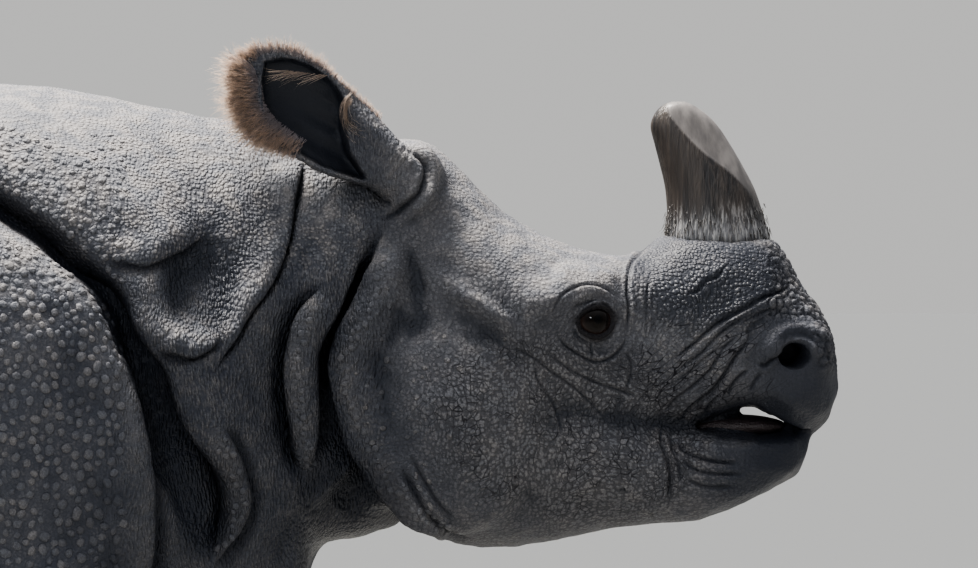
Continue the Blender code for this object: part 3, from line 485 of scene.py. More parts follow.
def fold_in(points, normals, folds):
    """Rolls and grooves of the big folds: sideways and outward shifts, and how deep in a groove, which sets
    the painted shade there.
    """
    flat = side_view(points)
    shift = np.zeros_like(points)
    groove = np.zeros(len(points))
    for name, (line, depth, width, roll, roll_width, tuck) in folds.items():
        distance, along, run = beside(line, flat, 0.16)
        fade = 0.26 * run if run > 0.7 and name != "before_shoulder" else min(0.20 * run, 0.09)
        strength = tapered(along, run, fade)
        wander = 0.85 + 0.15 * np.sin(along * 31 + len(name))
        inside = distance > 0
        # the roll rises steeply from the groove and eases out over the flap
        rise = 1 - np.exp(-np.clip(distance, 0, None) / (0.30 * roll_width))
        lift = roll * wander * rise * bell(np.clip(distance, 0, None), 2.0 * roll_width)
        lift -= 0.35 * depth * bell(distance - 3.1 * roll_width, roll_width) * inside * 0.3
        sink = -depth * bell(np.clip(distance, None, 0), width) * (~inside)
        sink += -depth * bell(distance, 0.20 * width) * inside
        shift += normals * ((lift * inside + sink) * strength)[:, None]
        # the lip leans over its groove
        away = unit(np.gradient(curve_through(line)[0], axis=0))
        index = np.clip((along / run * (LINE_POINTS - 1)).astype(int), 0, LINE_POINTS - 1)
        right = np.stack([away[index, 1], -away[index, 0]], axis=1)
        lean = tuck * bell(distance - 0.35 * roll_width, 0.55 * roll_width) * strength * inside
        shift[:, 0] += right[:, 0] * lean
        shift[:, 2] += right[:, 1] * lean
        # painted shade: this mark darkens the skin in and beside each groove
        groove = np.maximum(groove, bell(distance + 0.25 * width, 0.55 * width) * strength)
    return shift, groove


def crease_in(points, creases):
    """Narrow creases: how far each point sinks, and how much painted shade darkens the crease there."""
    flat = side_view(points)
    lift = np.zeros(len(points))
    crease_shade = np.zeros(len(points))
    for line, depth, width, swell in creases.values():
        distance, along, run = beside(line, flat, 0.05)
        fade = 0.22 * run
        strength = tapered(along, run, fade)
        groove = bell(distance, width)
        beside_it = bell(np.abs(distance) - 2.2 * width, 1.3 * width)
        lift += (-0.75 * depth * groove + swell * beside_it) * strength
        crease_shade = np.maximum(crease_shade, bell(distance, 0.60 * width) * strength)
    return lift, crease_shade


def swell(points):
    """Broad lumps and hollows on both flanks."""
    flat = side_view(points)
    lift = np.zeros(len(points))
    for *oval, rise in SWELLINGS.values():
        u, v = in_oval(flat, *oval)
        lift += rise * np.exp(-(u * u + v * v))
    return lift


def trough(points):
    """Long hollows and ridges on both flanks."""
    flat = side_view(points)
    lift = np.zeros(len(points))
    for line, rise, start, end in TROUGHS.values():
        distance, along, run = beside(line, flat, 0.09)
        width = start + (end - start) * along / run
        fade = 0.22 * run
        strength = tapered(along, run, fade)
        lift += rise * bell(distance, width) * strength
    return lift


def open_eye(points, side):
    """Lids for one eye: returns shifts, and the rim of the lids, painted dark for their moist edge and as
    painted lid shade.
    """
    centre = np.array([EYE.x, side * abs(EYE.y), EYE.z])
    axis = np.array([EYE_AXIS.x, side * abs(EYE_AXIS.y), EYE_AXIS.z])
    forward = np.array([0.97, 0.0, 0.02])
    forward -= axis * (forward @ axis)
    forward /= np.linalg.norm(forward)
    up = np.cross(forward, axis) * -side
    if up[2] < 0:
        up = -up
    local = points - centre
    near = (np.linalg.norm(local, axis=1) < 0.075) & (local @ axis > 0)
    u, v = local @ forward, local @ up
    # the almond of the open lids: the corners sit fore and aft
    half_length = 0.0335
    t = np.clip((u - 0.001) / half_length, -1, 1)
    top = 0.0185 * (1 - t * t) ** 0.62 + 0.0015 * t
    bottom = -0.0235 * (1 - t * t) ** 0.70 + 0.0005
    inside = np.minimum(np.minimum(top - v, v - bottom), (half_length - np.abs(u - 0.001)) * 0.8)
    # distance from the lid edge, positive within the opening
    radius = np.linalg.norm(local, axis=1)
    outward_way = local / np.maximum(radius, 1e-6)[:, None]
    lid = EYE_RADIUS + 0.0048
    bed = EYE_RADIUS - 0.011
    pull = between(-0.0008, 0.0022, inside)
    cap = between(0.046, 0.030, np.hypot(u, v)) * near
    wanted = lid + 0.0026 * bell(inside + 0.0030, 0.0026)
    fold = bell(inside + 0.0115, 0.0042)
    wanted += 0.0048 * fold * (v > 0) + 0.0026 * fold * (v <= 0)
    wanted -= 0.0022 * bell(inside + 0.0068, 0.0018)
    wanted = wanted * (1 - pull) + bed * pull
    shift = outward_way * ((wanted - radius) * cap)[:, None]
    # the rim: dark moist lid edge, widened with painted shade from the lids
    rim = between(-0.0125, -0.0035, inside) * cap
    return shift, rim


def waves(points, scale):
    """Smooth noise, about -1 to 1, one value a point."""
    at = noise.noise
    return np.array([at(p) for p in (points * scale).tolist()])


def knobs(points, where, size):
    """Raised blocks with cracks between them: height 0 to 1, and 1 in the cracks."""
    raised, cracks = np.zeros(len(points)), np.zeros(len(points))
    for i in np.flatnonzero(where > 0.02):
        (first, second, *_), _ = noise.voronoi(Vector(points[i] / size))
        gap = second - first
        raised[i] = min(max((gap - 0.02) / 0.30, 0.0), 1.0) ** 0.6
        cracks[i] = max(1.0 - gap / 0.14, 0.0)
    return raised * where, cracks * where


def work_hide(hide):
    """All the sculpting, on one mesh."""
    mesh = hide.data
    points, normals = places(mesh), outward(mesh)
    put(mesh, points + normals * (swell(points) + trough(points))[:, None])

    points, normals = places(mesh), outward(mesh)
    shift, groove = fold_in(points, normals, FOLDS)
    put(mesh, points + shift)

    points, normals = places(mesh), outward(mesh)
    lift, lines = crease_in(points, CREASES)
    # skin is never even: slow waves everywhere, and knobs down the front of the muzzle
    flat = side_view(points)
    lift += 0.0022 * waves(points, 22.0) + 0.0012 * waves(points, 55.0)
    front = between(1.570, 1.592, flat[:, 0]) * between(1.150, 1.180, flat[:, 1])
    top = between(1.495, 1.525, flat[:, 0]) * between(1.236, 1.250, flat[:, 1])
    from_nostril = np.hypot(flat[:, 0] - NOSTRIL[0], flat[:, 1] - NOSTRIL[1])
    # the skin climbs the foot of the horn
    from_horn = np.hypot((flat[:, 0] - 1.439) / 0.084, points[:, 1] / 0.064)
    collar = 0.019 * bell(np.clip(from_horn - 1, 0, None) * 0.072, 0.034)
    collar *= between(1.27, 1.32, flat[:, 1]) * between(-0.1, 0.5, normals[:, 2])
    points = points + np.outer(collar, (0, 0, 1))
    knobby = np.clip(front + top, 0, 1) * between(0.034, 0.042, from_nostril) * between(0.30, 0.10, lines)
    raised, cracks = knobs(points, knobby, 0.0125)
    put(mesh, points + normals * (lift + 0.0046 * raised)[:, None])
    # the cracks between the knobs join the creases' painted shade
    lines = np.maximum(lines, cracks * 0.9)

    points, normals = places(mesh), outward(mesh)
    rim = np.zeros(len(points))
    for side in (-1, 1):
        shift, dark = open_eye(points, side)
        points = points + shift
        rim = np.maximum(rim, dark)
    # nostrils: a comma-shaped pit with a thick rolled wing
    u, v = in_oval(side_view(points), *NOSTRIL, 1.0, 1.0, -18)
    shape = np.hypot(u / 0.0240, (v - 0.10 * u) / 0.0200)
    flank = np.abs(normals[:, 1]) > 0.15
    pit = between(1.06, 0.76, shape) * flank
    rim_roll = bell((shape - 1.35) / 0.36, 1.0) * flank * between(-0.010, 0.012, v - 0.3 * u)
    inward = np.stack([-0.35 * np.ones(len(points)), -np.sign(points[:, 1]) * 0.9,
                       0.15 * np.ones(len(points))], axis=1)
    points = points + inward * (0.046 * pit)[:, None] + normals * (0.0085 * rim_roll)[:, None]
    put(mesh, points)
    # painted shade: dark in the fold grooves, the nostril pits and along the creases
    mark(mesh, "groove", np.maximum(groove, pit))
    mark(mesh, "crease", lines)
    # the lid rims: dark moist skin with painted lid shade
    mark(mesh, "wet_and_shade", rim)
    # painted highlight on the nostril's rolled wing and the tops of the muzzle knobs
    mark(mesh, "wing_and_knob_highlight", np.maximum(rim_roll, 0.8 * raised))


def thin_hide(hide):
    """Fewer triangles where the hide is plain."""
    points = places(hide.data)
    x = points[:, 0] - SHIFT
    keep = between(0.30, 0.95, x) * 0.5
    head = between(0.86, 0.95, x)
    keep = np.maximum(keep, head * np.where(points[:, 1] < 0.02, 0.93, 0.75))
    eye = np.linalg.norm(points - np.array(EYE), axis=1) < 0.05
    keep = np.maximum(keep, eye * 0.97)
    group = weigh(hide, "plain", 1 - keep)
    corners = np.empty(len(hide.data.polygons), int)
    hide.data.polygons.foreach_get("loop_total", corners)
    triangles = int((corners - 2).sum())
    apply_modifier(hide, "DECIMATE", ratio=SKIN_TRIANGLES / triangles, vertex_group=group,
                   vertex_group_factor=KEEP_FORCE)
    hide.vertex_groups.clear()


def make_hide():
    hide = grow_hide()
    melt_facets(hide)
    set_ears(hide)
    refine(hide)
    work_hide(hide)
    thin_hide(hide)
    hide.data.shade_smooth()
    hide.data.materials.clear()
    return hide


# ---------------------------------------------------------------- materials
class Finish:
    """A small builder for one material's nodes."""

    def __init__(self, name):
        self.made = bpy.data.materials.new(name)
        self.made.use_nodes = True
        self.tree = self.made.node_tree
        self.shader = self.tree.nodes["Principled BSDF"]
        self.place = self.node("TexCoord", {}).outputs["Object"]

    def node(self, kind, feeds, **settings):
        """A new node with these settings, and its sockets filled or linked."""
        made = self.tree.nodes.new("ShaderNode" + kind)
        for key, value in settings.items():
            setattr(made, key, value)
        for socket, value in feeds.items():
            self.feed(made.inputs[socket], value)
        return made

    def feed(self, socket, value):
        if isinstance(value, bpy.types.NodeSocket):
            self.tree.links.new(value, socket)
        elif socket.type == "RGBA":
            socket.default_value = (*value, 1.0)
        else:
            socket.default_value = value

    def surface(self, colour, rough, **others):
        """Fills the shader and gives the finished material."""
        self.feed(self.shader.inputs["Base Color"], colour)
        self.feed(self.shader.inputs["Roughness"], rough)
        for key, value in others.items():
            self.feed(self.shader.inputs[key.replace("_", " ")], value)
        return self.made

    def math(self, operation, a, b=0.5, c=0.5):
        return self.node("Math", {0: a, 1: b, 2: c}, operation=operation).outputs[0]

    def times(self, first, *others):
        for other in others:
            first = self.math("MULTIPLY", first, other)
        return first

    def plus(self, a, b):
        return self.math("ADD", a, b)

    def minus(self, a, b):
        return self.math("SUBTRACT", a, b)

    def most(self, a, b):
        return self.math("MAXIMUM", a, b)

    def mix(self, amount, a, b):
        return self.node("Mix", {0: amount, 6: a, 7: b}, data_type="RGBA").outputs[2]

    def step(self, value, low, high, to_low=0.0, to_high=1.0):
        return self.node("MapRange", {0: value, 1: low, 2: high, 3: to_low, 4: to_high},
                         interpolation_type="SMOOTHSTEP").outputs[0]

    def attribute(self, name):
        return self.node("Attribute", {}, attribute_name=name).outputs["Fac"]

    def mapped(self, scale, turn=(0, 0, 0), source=None, way="POINT"):
        """Coordinates scaled and turned; with way "TEXTURE", turned first and then
        measured in cells of these sizes."""
        return self.node("Mapping", {"Vector": source or self.place, "Scale": scale, "Rotation": turn},
                         vector_type=way).outputs[0]

    def noise(self, scale, detail=2.0, source=None, rough=0.5):
        return self.node("TexNoise", {"Vector": source or self.place, "Scale": scale, "Detail": detail,
                                      "Roughness": rough}).outputs["Fac"]

    def warped(self, scale, amount, source=None):
        """The coordinates pushed about by a noise."""
        push = self.noise(scale, 0.0, source).node.outputs["Color"]
        centred = self.node("VectorMath", {0: push, 1: (0.5, 0.5, 0.5)}, operation="SUBTRACT").outputs[0]
        scaled = self.node("VectorMath", {0: centred, "Scale": amount}, operation="SCALE").outputs[0]
        return self.node("VectorMath", {0: source or self.place, 1: scaled}, operation="ADD").outputs[0]

    def part_way(self, amount, a, b):
        """Coordinates between two others."""
        return self.node("Mix", {0: amount, 4: a, 5: b}, data_type="VECTOR").outputs[1]

    def cells(self, scale, source, feature="F1", even=1.0):
        return self.node("TexVoronoi", {"Vector": source, "Scale": scale, "Randomness": even},
                         feature=feature).outputs["Distance"]

    def bump(self, height, distance):
        return self.node("Bump", {"Strength": 1.0, "Distance": distance, "Height": height}).outputs[0]


# The marks that the hide's finish reads, apart from "pale"; hide and tubercles carry them all
PAINTED = ("dust_and_painted_light", "dark", "mosaic", "dots", "pebble", "ribs", "warm", "groove", "crease", "wet_and_shade",
           "lines", "fair")
# Colours: darker skin with painted shade, painted shade in folds and creases, and dark moist lid rims with
# painted lid shade
DARK_SKIN_AND_SHADE, FOLD_SHADE, LID_DARK_AND_SHADE = (0.017, 0.020, 0.028), (0.009, 0.009, 0.013), (0.008, 0.007, 0.009)


def hide_finish():
    """Bluish grey hide: cracked and pebbled, paler where it faces up and on ridges (a dusting, with painted
    light), darker skin in places, and painted shade in its folds, creases and hollows.
    """
    f = Finish("hide_leather")
    warp = f.warped(11.0, 0.024)
    fine_warp = f.warped(70.0, 0.0045, warp)
    soft_warp = f.part_way(0.4, warp, fine_warp)
    on = {key: f.attribute(key) for key in (*PAINTED, "pale")}
    # pebbles, the net of cracks, scattered spots, and ribs that run down the neck
    small = f.cells(158.0, soft_warp, even=0.72)
    stone = f.step(small, 0.62, 0.22)
    fine_crack = f.step(small, 0.40, 0.66)
    open_net = f.step(f.noise(16.0, 1.0), 0.36, 0.56)
    net = f.step(f.cells(74.0, fine_warp, "DISTANCE_TO_EDGE"), 0.0, 0.075, 1.0, 0.0)
    crack = f.times(net, f.math("MULTIPLY_ADD", open_net, 0.75, 0.25))
    crack = f.times(f.most(crack, f.times(fine_crack, 0.55)), on["mosaic"])
    slanted = f.mapped((0.040, 0.012, 0.0105), (0, -0.62, 0), soft_warp, "TEXTURE")
    long_crack = f.step(f.cells(1.0, slanted, "DISTANCE_TO_EDGE"), 0.0, 0.065, 1.0, 0.0)
    crack = f.most(crack, f.times(long_crack, on["lines"], f.plus(0.20, open_net)))
    spots = f.cells(58.0, warp)
    chance = f.node("SeparateColor", {0: spots.node.outputs["Color"]}).outputs[0]
    size = f.math("MULTIPLY_ADD", chance, 0.26, 0.08)
    spot = f.times(f.step(f.minus(size, spots), -0.03, 0.07), on["dots"])
    rib = f.step(f.cells(1.0, f.mapped((240.0, 150.0, 85.0), (0, 0.16, 0), warp)), 0.78, 0.12)
    blotch, patch, grain = f.noise(4.5, 4.0), f.noise(34.0, 2.0), f.noise(380.0, 1.0, rough=0.65)

    base = f.mix(f.step(blotch, 0.38, 0.64), (0.029, 0.034, 0.048), (0.054, 0.057, 0.068))
    base = f.mix(on["fair"], base, f.mix(blotch, (0.104, 0.109, 0.123), (0.136, 0.134, 0.138)))
    base = f.mix(f.times(on["warm"], 0.6), base, (0.075, 0.060, 0.048))
    pale = f.mix(f.step(patch, 0.35, 0.68), (0.140, 0.144, 0.157), (0.205, 0.196, 0.193))
    raised = f.most(f.times(stone, on["pebble"], 0.60), f.times(rib, on["ribs"], 0.50))
    # the pale mark: pale tubercle tops and beads, and a painted highlight on nostril wings and knob tops
    raised = f.most(f.most(raised, f.times(spot, 0.80)), on["pale"])
    # the dust mark is real dust together with painted light: paler on upward faces and on ridges
    dusty_and_lit = f.times(on["dust_and_painted_light"], f.math("MULTIPLY_ADD", patch, 0.5, 0.55))
    colour = f.mix(f.step(f.plus(raised, dusty_and_lit), 0.0, 1.15), base, pale)
    speck = f.step(grain, 0.35, 0.70, 1.0, 0.0)
    colour = f.mix(f.times(speck, 0.38), colour, (0.020, 0.021, 0.027))
    # painted shade: creases and fold grooves darkened to near black, with the cracks' own dark lines
    deep = f.most(f.times(crack, 0.93), f.times(on["crease"], 0.72))
    colour = f.mix(f.most(deep, f.times(on["groove"], 0.92)), colour, FOLD_SHADE)
    # the dark mark: darker skin on muzzle, lips and throat, and painted shade on the boss, inside the mouth,
    # in the ears' hollows, hollows and recesses
    colour = f.mix(f.times(on["dark"], 0.80), colour, DARK_SKIN_AND_SHADE)
    # the lid rims: dark moist skin and painted lid shade
    colour = f.mix(f.times(on["wet_and_shade"], 0.9), colour, LID_DARK_AND_SHADE)
    rough = f.minus(f.minus(0.70, f.times(on["dark"], 0.22)), f.times(on["wet_and_shade"], 0.10))

    # all heights in millimetres
    height = f.times(stone, on["pebble"], 1.7)
    for part, rise in ((f.times(rib, on["ribs"]), 3.0), (spot, 2.2),
                       (f.times(fine_crack, on["mosaic"]), -1.2), (grain, 0.9), (patch, 1.2)):
        height = f.plus(height, f.times(part, rise))
    return f.surface(colour, rough, Specular_IOR_Level=0.24, Normal=f.bump(height, 0.001))


def hair_finish(name, root, tip):
    """Hair, darker at the root: reads how far along the strand each point is."""
    f = Finish(name)
    colour = f.mix(f.step(f.attribute("strand"), 0.25, 1.00), root, tip)
    colour = f.mix(f.times(f.attribute("tone"), 0.55), colour, tuple(c * 0.35 for c in root))
    return f.surface(colour, 0.48, Specular_IOR_Level=0.5)


# ---------------------------------------------------------------- ears
# Sections of an ear across its length: (reach from the root, lower edge, upper edge,
# bulge on the open side, bulge on the back)
EAR_ROOT = (0.956, 0.158, 1.446)
EAR_TIP = (0.716, 0.208, 1.640)
EAR_OPENING = (0.10, 0.98, -0.06)
EAR_SECTIONS = [
    (-0.040, -0.030, 0.034, 0.026, 0.030),
    (0.000, -0.036, 0.043, 0.034, 0.034),
    (0.040, -0.037, 0.049, 0.033, 0.034),
    (0.080, -0.050, 0.054, 0.025, 0.036),
    (0.120, -0.064, 0.059, 0.017, 0.038),
    (0.160, -0.070, 0.061, 0.011, 0.038),
    (0.200, -0.074, 0.063, 0.008, 0.037),
    (0.240, -0.072, 0.060, 0.007, 0.034),
    (0.272, -0.058, 0.050, 0.006, 0.028),
    (0.298, -0.034, 0.032, 0.005, 0.018),
    (0.314, -0.010, 0.012, 0.003, 0.006),
]
# The rim of the ear's hollow, as (reach, across)
EAR_HOLLOW = [(0.292, 0.014), (0.262, -0.030), (0.222, -0.056), (0.180, -0.064), (0.136, -0.062),
              (0.090, -0.048), (0.056, -0.030), (0.080, -0.018), (0.105, -0.008), (0.138, 0.022),
              (0.160, 0.046), (0.195, 0.056), (0.235, 0.053), (0.270, 0.038)]
EAR_WALL = 0.0075


def smooth_columns(table, at):
    table = np.array(table, float)
    fine, _ = curve_through(table, 240)
    return np.stack([at] + [np.interp(at, fine[:, 0], fine[:, k]) for k in range(1, table.shape[1])], axis=1)


def ear_axes(side):
    root = np.array([EAR_ROOT[0] + SHIFT, side * EAR_ROOT[1], EAR_ROOT[2]])
    tip = np.array([EAR_TIP[0] + SHIFT, side * EAR_TIP[1], EAR_TIP[2]])
    along = (tip - root) / np.linalg.norm(tip - root)
    opening = np.array([EAR_OPENING[0], side * EAR_OPENING[1], EAR_OPENING[2]])
    opening -= along * (opening @ along)
    opening /= np.linalg.norm(opening)
    across = np.cross(along, opening) * side
    if across[2] < 0:
        across = -across
    return root, along, across, opening


def inside_distance(outline, spots):
    """Distance to a closed outline, positive inside."""
    outline, _ = curve_through(list(outline) + [outline[0]], 90)
    best = np.full(len(spots), 1e9)
    odd = np.zeros(len(spots), bool)
    for a, b in zip(outline[:-1], outline[1:]):
        step = b - a
        t = np.clip(((spots - a) @ step) / max(step @ step, 1e-12), 0, 1)
        best = np.minimum(best, np.linalg.norm(spots - a - t[:, None] * step, axis=1))
        crosses = (a[1] > spots[:, 1]) != (b[1] > spots[:, 1])
        with np.errstate(divide="ignore", invalid="ignore"):
            at = a[0] + (spots[:, 1] - a[1]) * step[0] / step[1]
        odd ^= crosses & (spots[:, 0] < at)
    return np.where(odd, best, -best)


def loft(name, rings, marks):
    """A closed skin over rings of points, (rows, around, 3), with a middle point in each end."""
    count, around = rings.shape[:2]
    corners = rings.reshape(-1, 3).tolist()
    faces = [(i * around + j, i * around + (j + 1) % around, (i + 1) * around + (j + 1) % around,
              (i + 1) * around + j) for i in range(count - 1) for j in range(around)]
    for end in (0, count - 1):
        corners.append(rings[end].mean(0).tolist())
        faces += [(end * around + j, end * around + (j + 1) % around, len(corners) - 1)
                  for j in range(around)]
    mesh = bpy.data.meshes.new(name)
    mesh.from_pydata(corners, [], faces)
    for key, values in marks.items():
        mark(mesh, key, values)
    shell = bmesh.new()
    shell.from_mesh(mesh)
    bmesh.ops.recalc_face_normals(shell, faces=shell.faces)
    shell.to_mesh(mesh)
    shell.free()
    return new_object(name, mesh)


def make_ear(name, side):
    """A thick leaf with a hollow pressed into the side that faces out."""
    root, along, across, opening = ear_axes(side)
    count, around = 110, 120
    rows = smooth_columns(EAR_SECTIONS, np.linspace(-0.040, 0.3135, count))
    angles = np.linspace(0, 2 * math.pi, around, endpoint=False)
    reach = np.repeat(rows[:, 0], around)
    low, high, front, back = (np.repeat(rows[:, k], around) for k in range(1, 5))
    turn = np.tile(angles, count)
    middle, half = (low + high) / 2, (high - low) / 2
    wide = middle + half * np.cos(turn)
    rise = np.sin(turn)
    open_side = rise > 0
    deep = np.where(open_side, front, back) * np.sign(rise) * np.abs(rise) ** 0.9
    # the front edge is a broad roll, the rear edge is thin
    deep += 0.010 * bell(reach - 0.10, 0.06) * bell(wide - 0.040, 0.022) * open_side
    inside = inside_distance(EAR_HOLLOW, np.stack([reach, wide], axis=1))
    floor_deep = -back * np.sqrt(np.clip(1 - ((wide - middle) / half) ** 2, 0, 1)) + EAR_WALL
    floor_deep = floor_deep + 0.0025 * np.sin(wide * 190 + reach * 30) * between(0.27, 0.12, reach)
    pull = between(-0.0005, 0.0065, inside) * open_side
    deep = np.where(open_side, deep * (1 - pull) + np.minimum(floor_deep, deep) * pull, deep)
    deep += 0.0016 * bell(inside + 0.003, 0.003) * open_side
    # folds across the cone near the root
    wrinkle = 0.0012 * np.sin(reach * 520 + wide * 60) * between(0.085, 0.02, reach) * (1 - pull)
    points = (root + np.outer(reach, along) + np.outer(wide + wrinkle, across)
              + np.outer(deep + wrinkle, opening))
    return loft(name, points.reshape(count, around, 3), {"hollow": np.concatenate([pull, [0, 0]])})


def set_ears(hide):
    """Joins both ears to the hide and melts the seam at their roots."""
    for side in (1, -1):
        ear = make_ear("ear_leaf", side)
        apply_modifier(hide, "BOOLEAN", operation="UNION", object=ear, solver="MANIFOLD")
        bpy.data.objects.remove(ear)
    points = places(hide.data)
    seam = np.zeros(len(points))
    for side in (1, -1):
        root, along, _, _ = ear_axes(side)
        reach = (points - root) @ along
        wide = np.linalg.norm(points - root - np.outer(reach, along), axis=1)
        seam = np.maximum(seam, bell(reach - 0.004, 0.022) * between(0.075, 0.055, wide))
    group = weigh(hide, "seam", seam)
    apply_modifier(hide, "SMOOTH", iterations=12, factor=0.5, vertex_group=group)
    hide.vertex_groups.clear()


# ---------------------------------------------------------------- horn, eyes, nails, tongue
# Level sections of the horn: (height, rear, front, half width)
HORN = [
    (1.326, 1.3640, 1.5170, 0.0590),
    (1.366, 1.3600, 1.5190, 0.0615),
    (1.397, 1.3605, 1.5115, 0.0570),
    (1.443, 1.3575, 1.4965, 0.0500),
    (1.482, 1.3490, 1.4765, 0.0440),
    (1.513, 1.3410, 1.4585, 0.0390),
    (1.541, 1.3345, 1.4400, 0.0335),
    (1.560, 1.3400, 1.4220, 0.0280),
    (1.574, 1.3520, 1.4020, 0.0205),
    (1.5805, 1.3680, 1.3870, 0.0085),
]
# The edge of the worn face at the front of the horn, in the side view, read downwards
WORN_EDGE = [(1.3560, 1.5820), (1.3620, 1.5600), (1.3850, 1.5300), (1.4150, 1.5000), (1.4550, 1.4700),
             (1.4840, 1.4400), (1.5050, 1.4000)]


def make_horn():
    count, around = 150, 160
    rows = smooth_columns(HORN, np.linspace(1.326, 1.5803, count))
    angles = np.linspace(0, 2 * math.pi, around, endpoint=False)
    height = np.repeat(rows[:, 0], around)
    rear, front, half = (np.repeat(rows[:, k], around) for k in range(1, 4))
    turn = np.tile(angles, count)
    middle, length = (rear + front) / 2, (front - rear) / 2
    x = middle + length * np.cos(turn)
    y = half * np.sin(turn) * (1 + 0.05 * np.cos(2 * turn))
    fibres = np.array([noise.noise(Vector((math.cos(a) * 7, math.sin(a) * 7, h * 5)))
                       + 0.6 * noise.noise(Vector((math.cos(a) * 19, math.sin(a) * 19, h * 9)))
                       for a, h in zip(turn, height)])
    frayed = between(1.420, 1.345, height)
    swell_out = 1 + fibres * (0.012 + 0.030 * frayed)
    distance, _, _ = beside(WORN_EDGE, np.stack([x, height], axis=1), 0.2)
    worn = between(-0.001, 0.004, distance) * between(1.395, 1.43, height)
    swell_out = swell_out * (1 - worn) + worn
    flat = 1 - 0.30 * np.clip(distance / 0.045, 0, 1) * worn
    x = middle + (x - middle) * swell_out
    y = y * swell_out * flat
    points = np.stack([x + SHIFT, y, height], axis=1).reshape(count, around, 3)
    made = loft("horn_core", points, {"worn": np.concatenate([worn, [0, 1]])})
    made.data.shade_smooth()
    return made


def make_eyeball(node, side):
    """The ball with a clear bulge in front, marked with how far each point is from the gaze."""
    low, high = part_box(node)
    centre = (low + high) / 2
    made = ball("eyeball_" + node.split("_")[1], centre, [EYE_RADIUS] * 3, 40, 56)
    local = (places(made.data) - np.array(centre)) / EYE_RADIUS
    axis = np.array([EYE_AXIS.x, side * abs(EYE_AXIS.y), EYE_AXIS.z])
    away = np.degrees(np.arccos(np.clip(local @ axis, -1, 1)))
    bulge = 1 + 0.035 * between(34, 8, away)
    put(made.data, np.array(centre) + local * EYE_RADIUS * bulge[:, None])
    mark(made.data, "gaze", away)
    made.data.shade_smooth()
    return made


def make_nail(node):
    """A toenail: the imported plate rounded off, with growth lines left to its finish."""
    made = merged_copy(node, "toe" + node)
    apply_modifier(made, "SUBSURF", levels=2, render_levels=2)
    points = places(made.data)
    low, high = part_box(node)
    span = points.max(0) - points.min(0)
    wanted = np.array(high) - np.array(low)
    points = (points - (points.max(0) + points.min(0)) / 2) * (wanted / span) + np.array((low + high) / 2)
    put(made.data, points)
    made.data.shade_smooth()
    return made


def make_tongue():
    made = merged_copy("tongue", "tongue_flesh")
    apply_modifier(made, "SUBSURF", levels=3, render_levels=3)
    made.data.shade_smooth()
    return made


def horn_finish():
    """Dark fibres, frayed grey at the foot, with a paler face worn smooth at the front."""
    f = Finish("horn_fibre")
    fine = f.noise(1.0, 4.0, f.mapped((260.0, 260.0, 9.0)), 0.6)
    broad = f.noise(1.0, 3.0, f.mapped((45.0, 45.0, 5.0)))
    worn = f.attribute("worn")
    z = f.node("SeparateXYZ", {0: f.place}).outputs[2]
    ragged = f.math("MULTIPLY_ADD", fine, -0.09, f.plus(z, 0.045))
    low_pale = f.step(ragged, 1.425, 1.372)
    brown = f.mix(f.step(broad, 0.35, 0.65), (0.008, 0.007, 0.008), (0.030, 0.024, 0.021))
    streak = f.step(fine, 0.46, 0.62)
    grey = f.mix(streak, (0.110, 0.113, 0.122), (0.340, 0.345, 0.352))
    body = f.mix(f.times(low_pale, 0.8), brown, grey)
    body = f.mix(f.times(streak, 0.24), body, (0.085, 0.068, 0.055))
    polished = f.mix(f.step(broad, 0.3, 0.7), (0.070, 0.065, 0.064), (0.140, 0.130, 0.125))
    colour = f.mix(f.times(worn, f.step(z, 1.405, 1.470, 0.25, 1.0)), body, polished)
    colour = f.mix(f.step(z, 1.372, 1.352), colour, (0.020, 0.019, 0.020))
    relief = f.times(fine, f.minus(1.0, f.times(worn, 0.85)))
    return f.surface(colour, 0.46, Normal=f.bump(relief, 0.0022))


def eye_finish():
    """Rings by the angle from the gaze, in degrees: pupil, brown iris, dark white."""
    f = Finish("eye_wet")
    gaze = f.attribute("gaze")
    brown = f.mix(f.noise(160.0, 3.0), (0.003, 0.0025, 0.0025), (0.009, 0.006, 0.005))
    white = f.mix(f.step(gaze, 60.0, 34.0), (0.030, 0.020, 0.018), (0.010, 0.008, 0.008))
    colour = f.mix(f.step(gaze, 31.0, 28.0), white, brown)
    colour = f.mix(f.step(gaze, 15.0, 13.0), colour, (0.002, 0.002, 0.003))
    return f.surface(colour, 0.06, Specular_IOR_Level=0.08, Coat_Weight=0.16, Coat_Roughness=0.04)


def nail_finish():
    f = Finish("nail_horn")
    lines = f.noise(1.0, 3.0, f.mapped((30.0, 30.0, 260.0)))
    streak = f.noise(1.0, 3.0, f.mapped((170.0, 170.0, 20.0)))
    colour = f.mix(lines, (0.085, 0.076, 0.068), (0.205, 0.185, 0.160))
    colour = f.mix(f.step(streak, 0.5, 0.75), colour, (0.110, 0.096, 0.083))
    return f.surface(colour, 0.5, Normal=f.bump(lines, 0.0015))


def tongue_finish():
    f = Finish("tongue_wet")
    bumps = f.cells(420.0, f.warped(40.0, 0.004))
    colour = f.mix(f.noise(30.0, 3.0), (0.022, 0.018, 0.021), (0.062, 0.048, 0.050))
    return f.surface(colour, 0.32, Normal=f.bump(bumps, 0.0012))


# ---------------------------------------------------------------- region marks
def hollows(mesh, rounds):
    """How far each point lies below its surroundings, in metres (ridges are negative)."""
    pairs = np.empty(len(mesh.edges) * 2, np.int32)
    mesh.edges.foreach_get("vertices", pairs)
    a, b = pairs.reshape(-1, 2).T
    points = places(mesh)
    count = len(points)
    partners = (np.bincount(a, minlength=count) + np.bincount(b, minlength=count))[:, None]
    soft = points.copy()
    for _ in range(rounds):
        total = np.stack([np.bincount(a, soft[b, k], count) + np.bincount(b, soft[a, k], count)
                          for k in range(3)], axis=1)
        soft = 0.4 * soft + 0.6 * total / partners
    return np.sum((soft - points) * outward(mesh), axis=1)


def spot_mark(flat, *oval):
    """1 inside a slanted oval in the side view, easing to 0 outside it."""
    return between(1.25, 0.65, np.hypot(*in_oval(flat, *oval)))


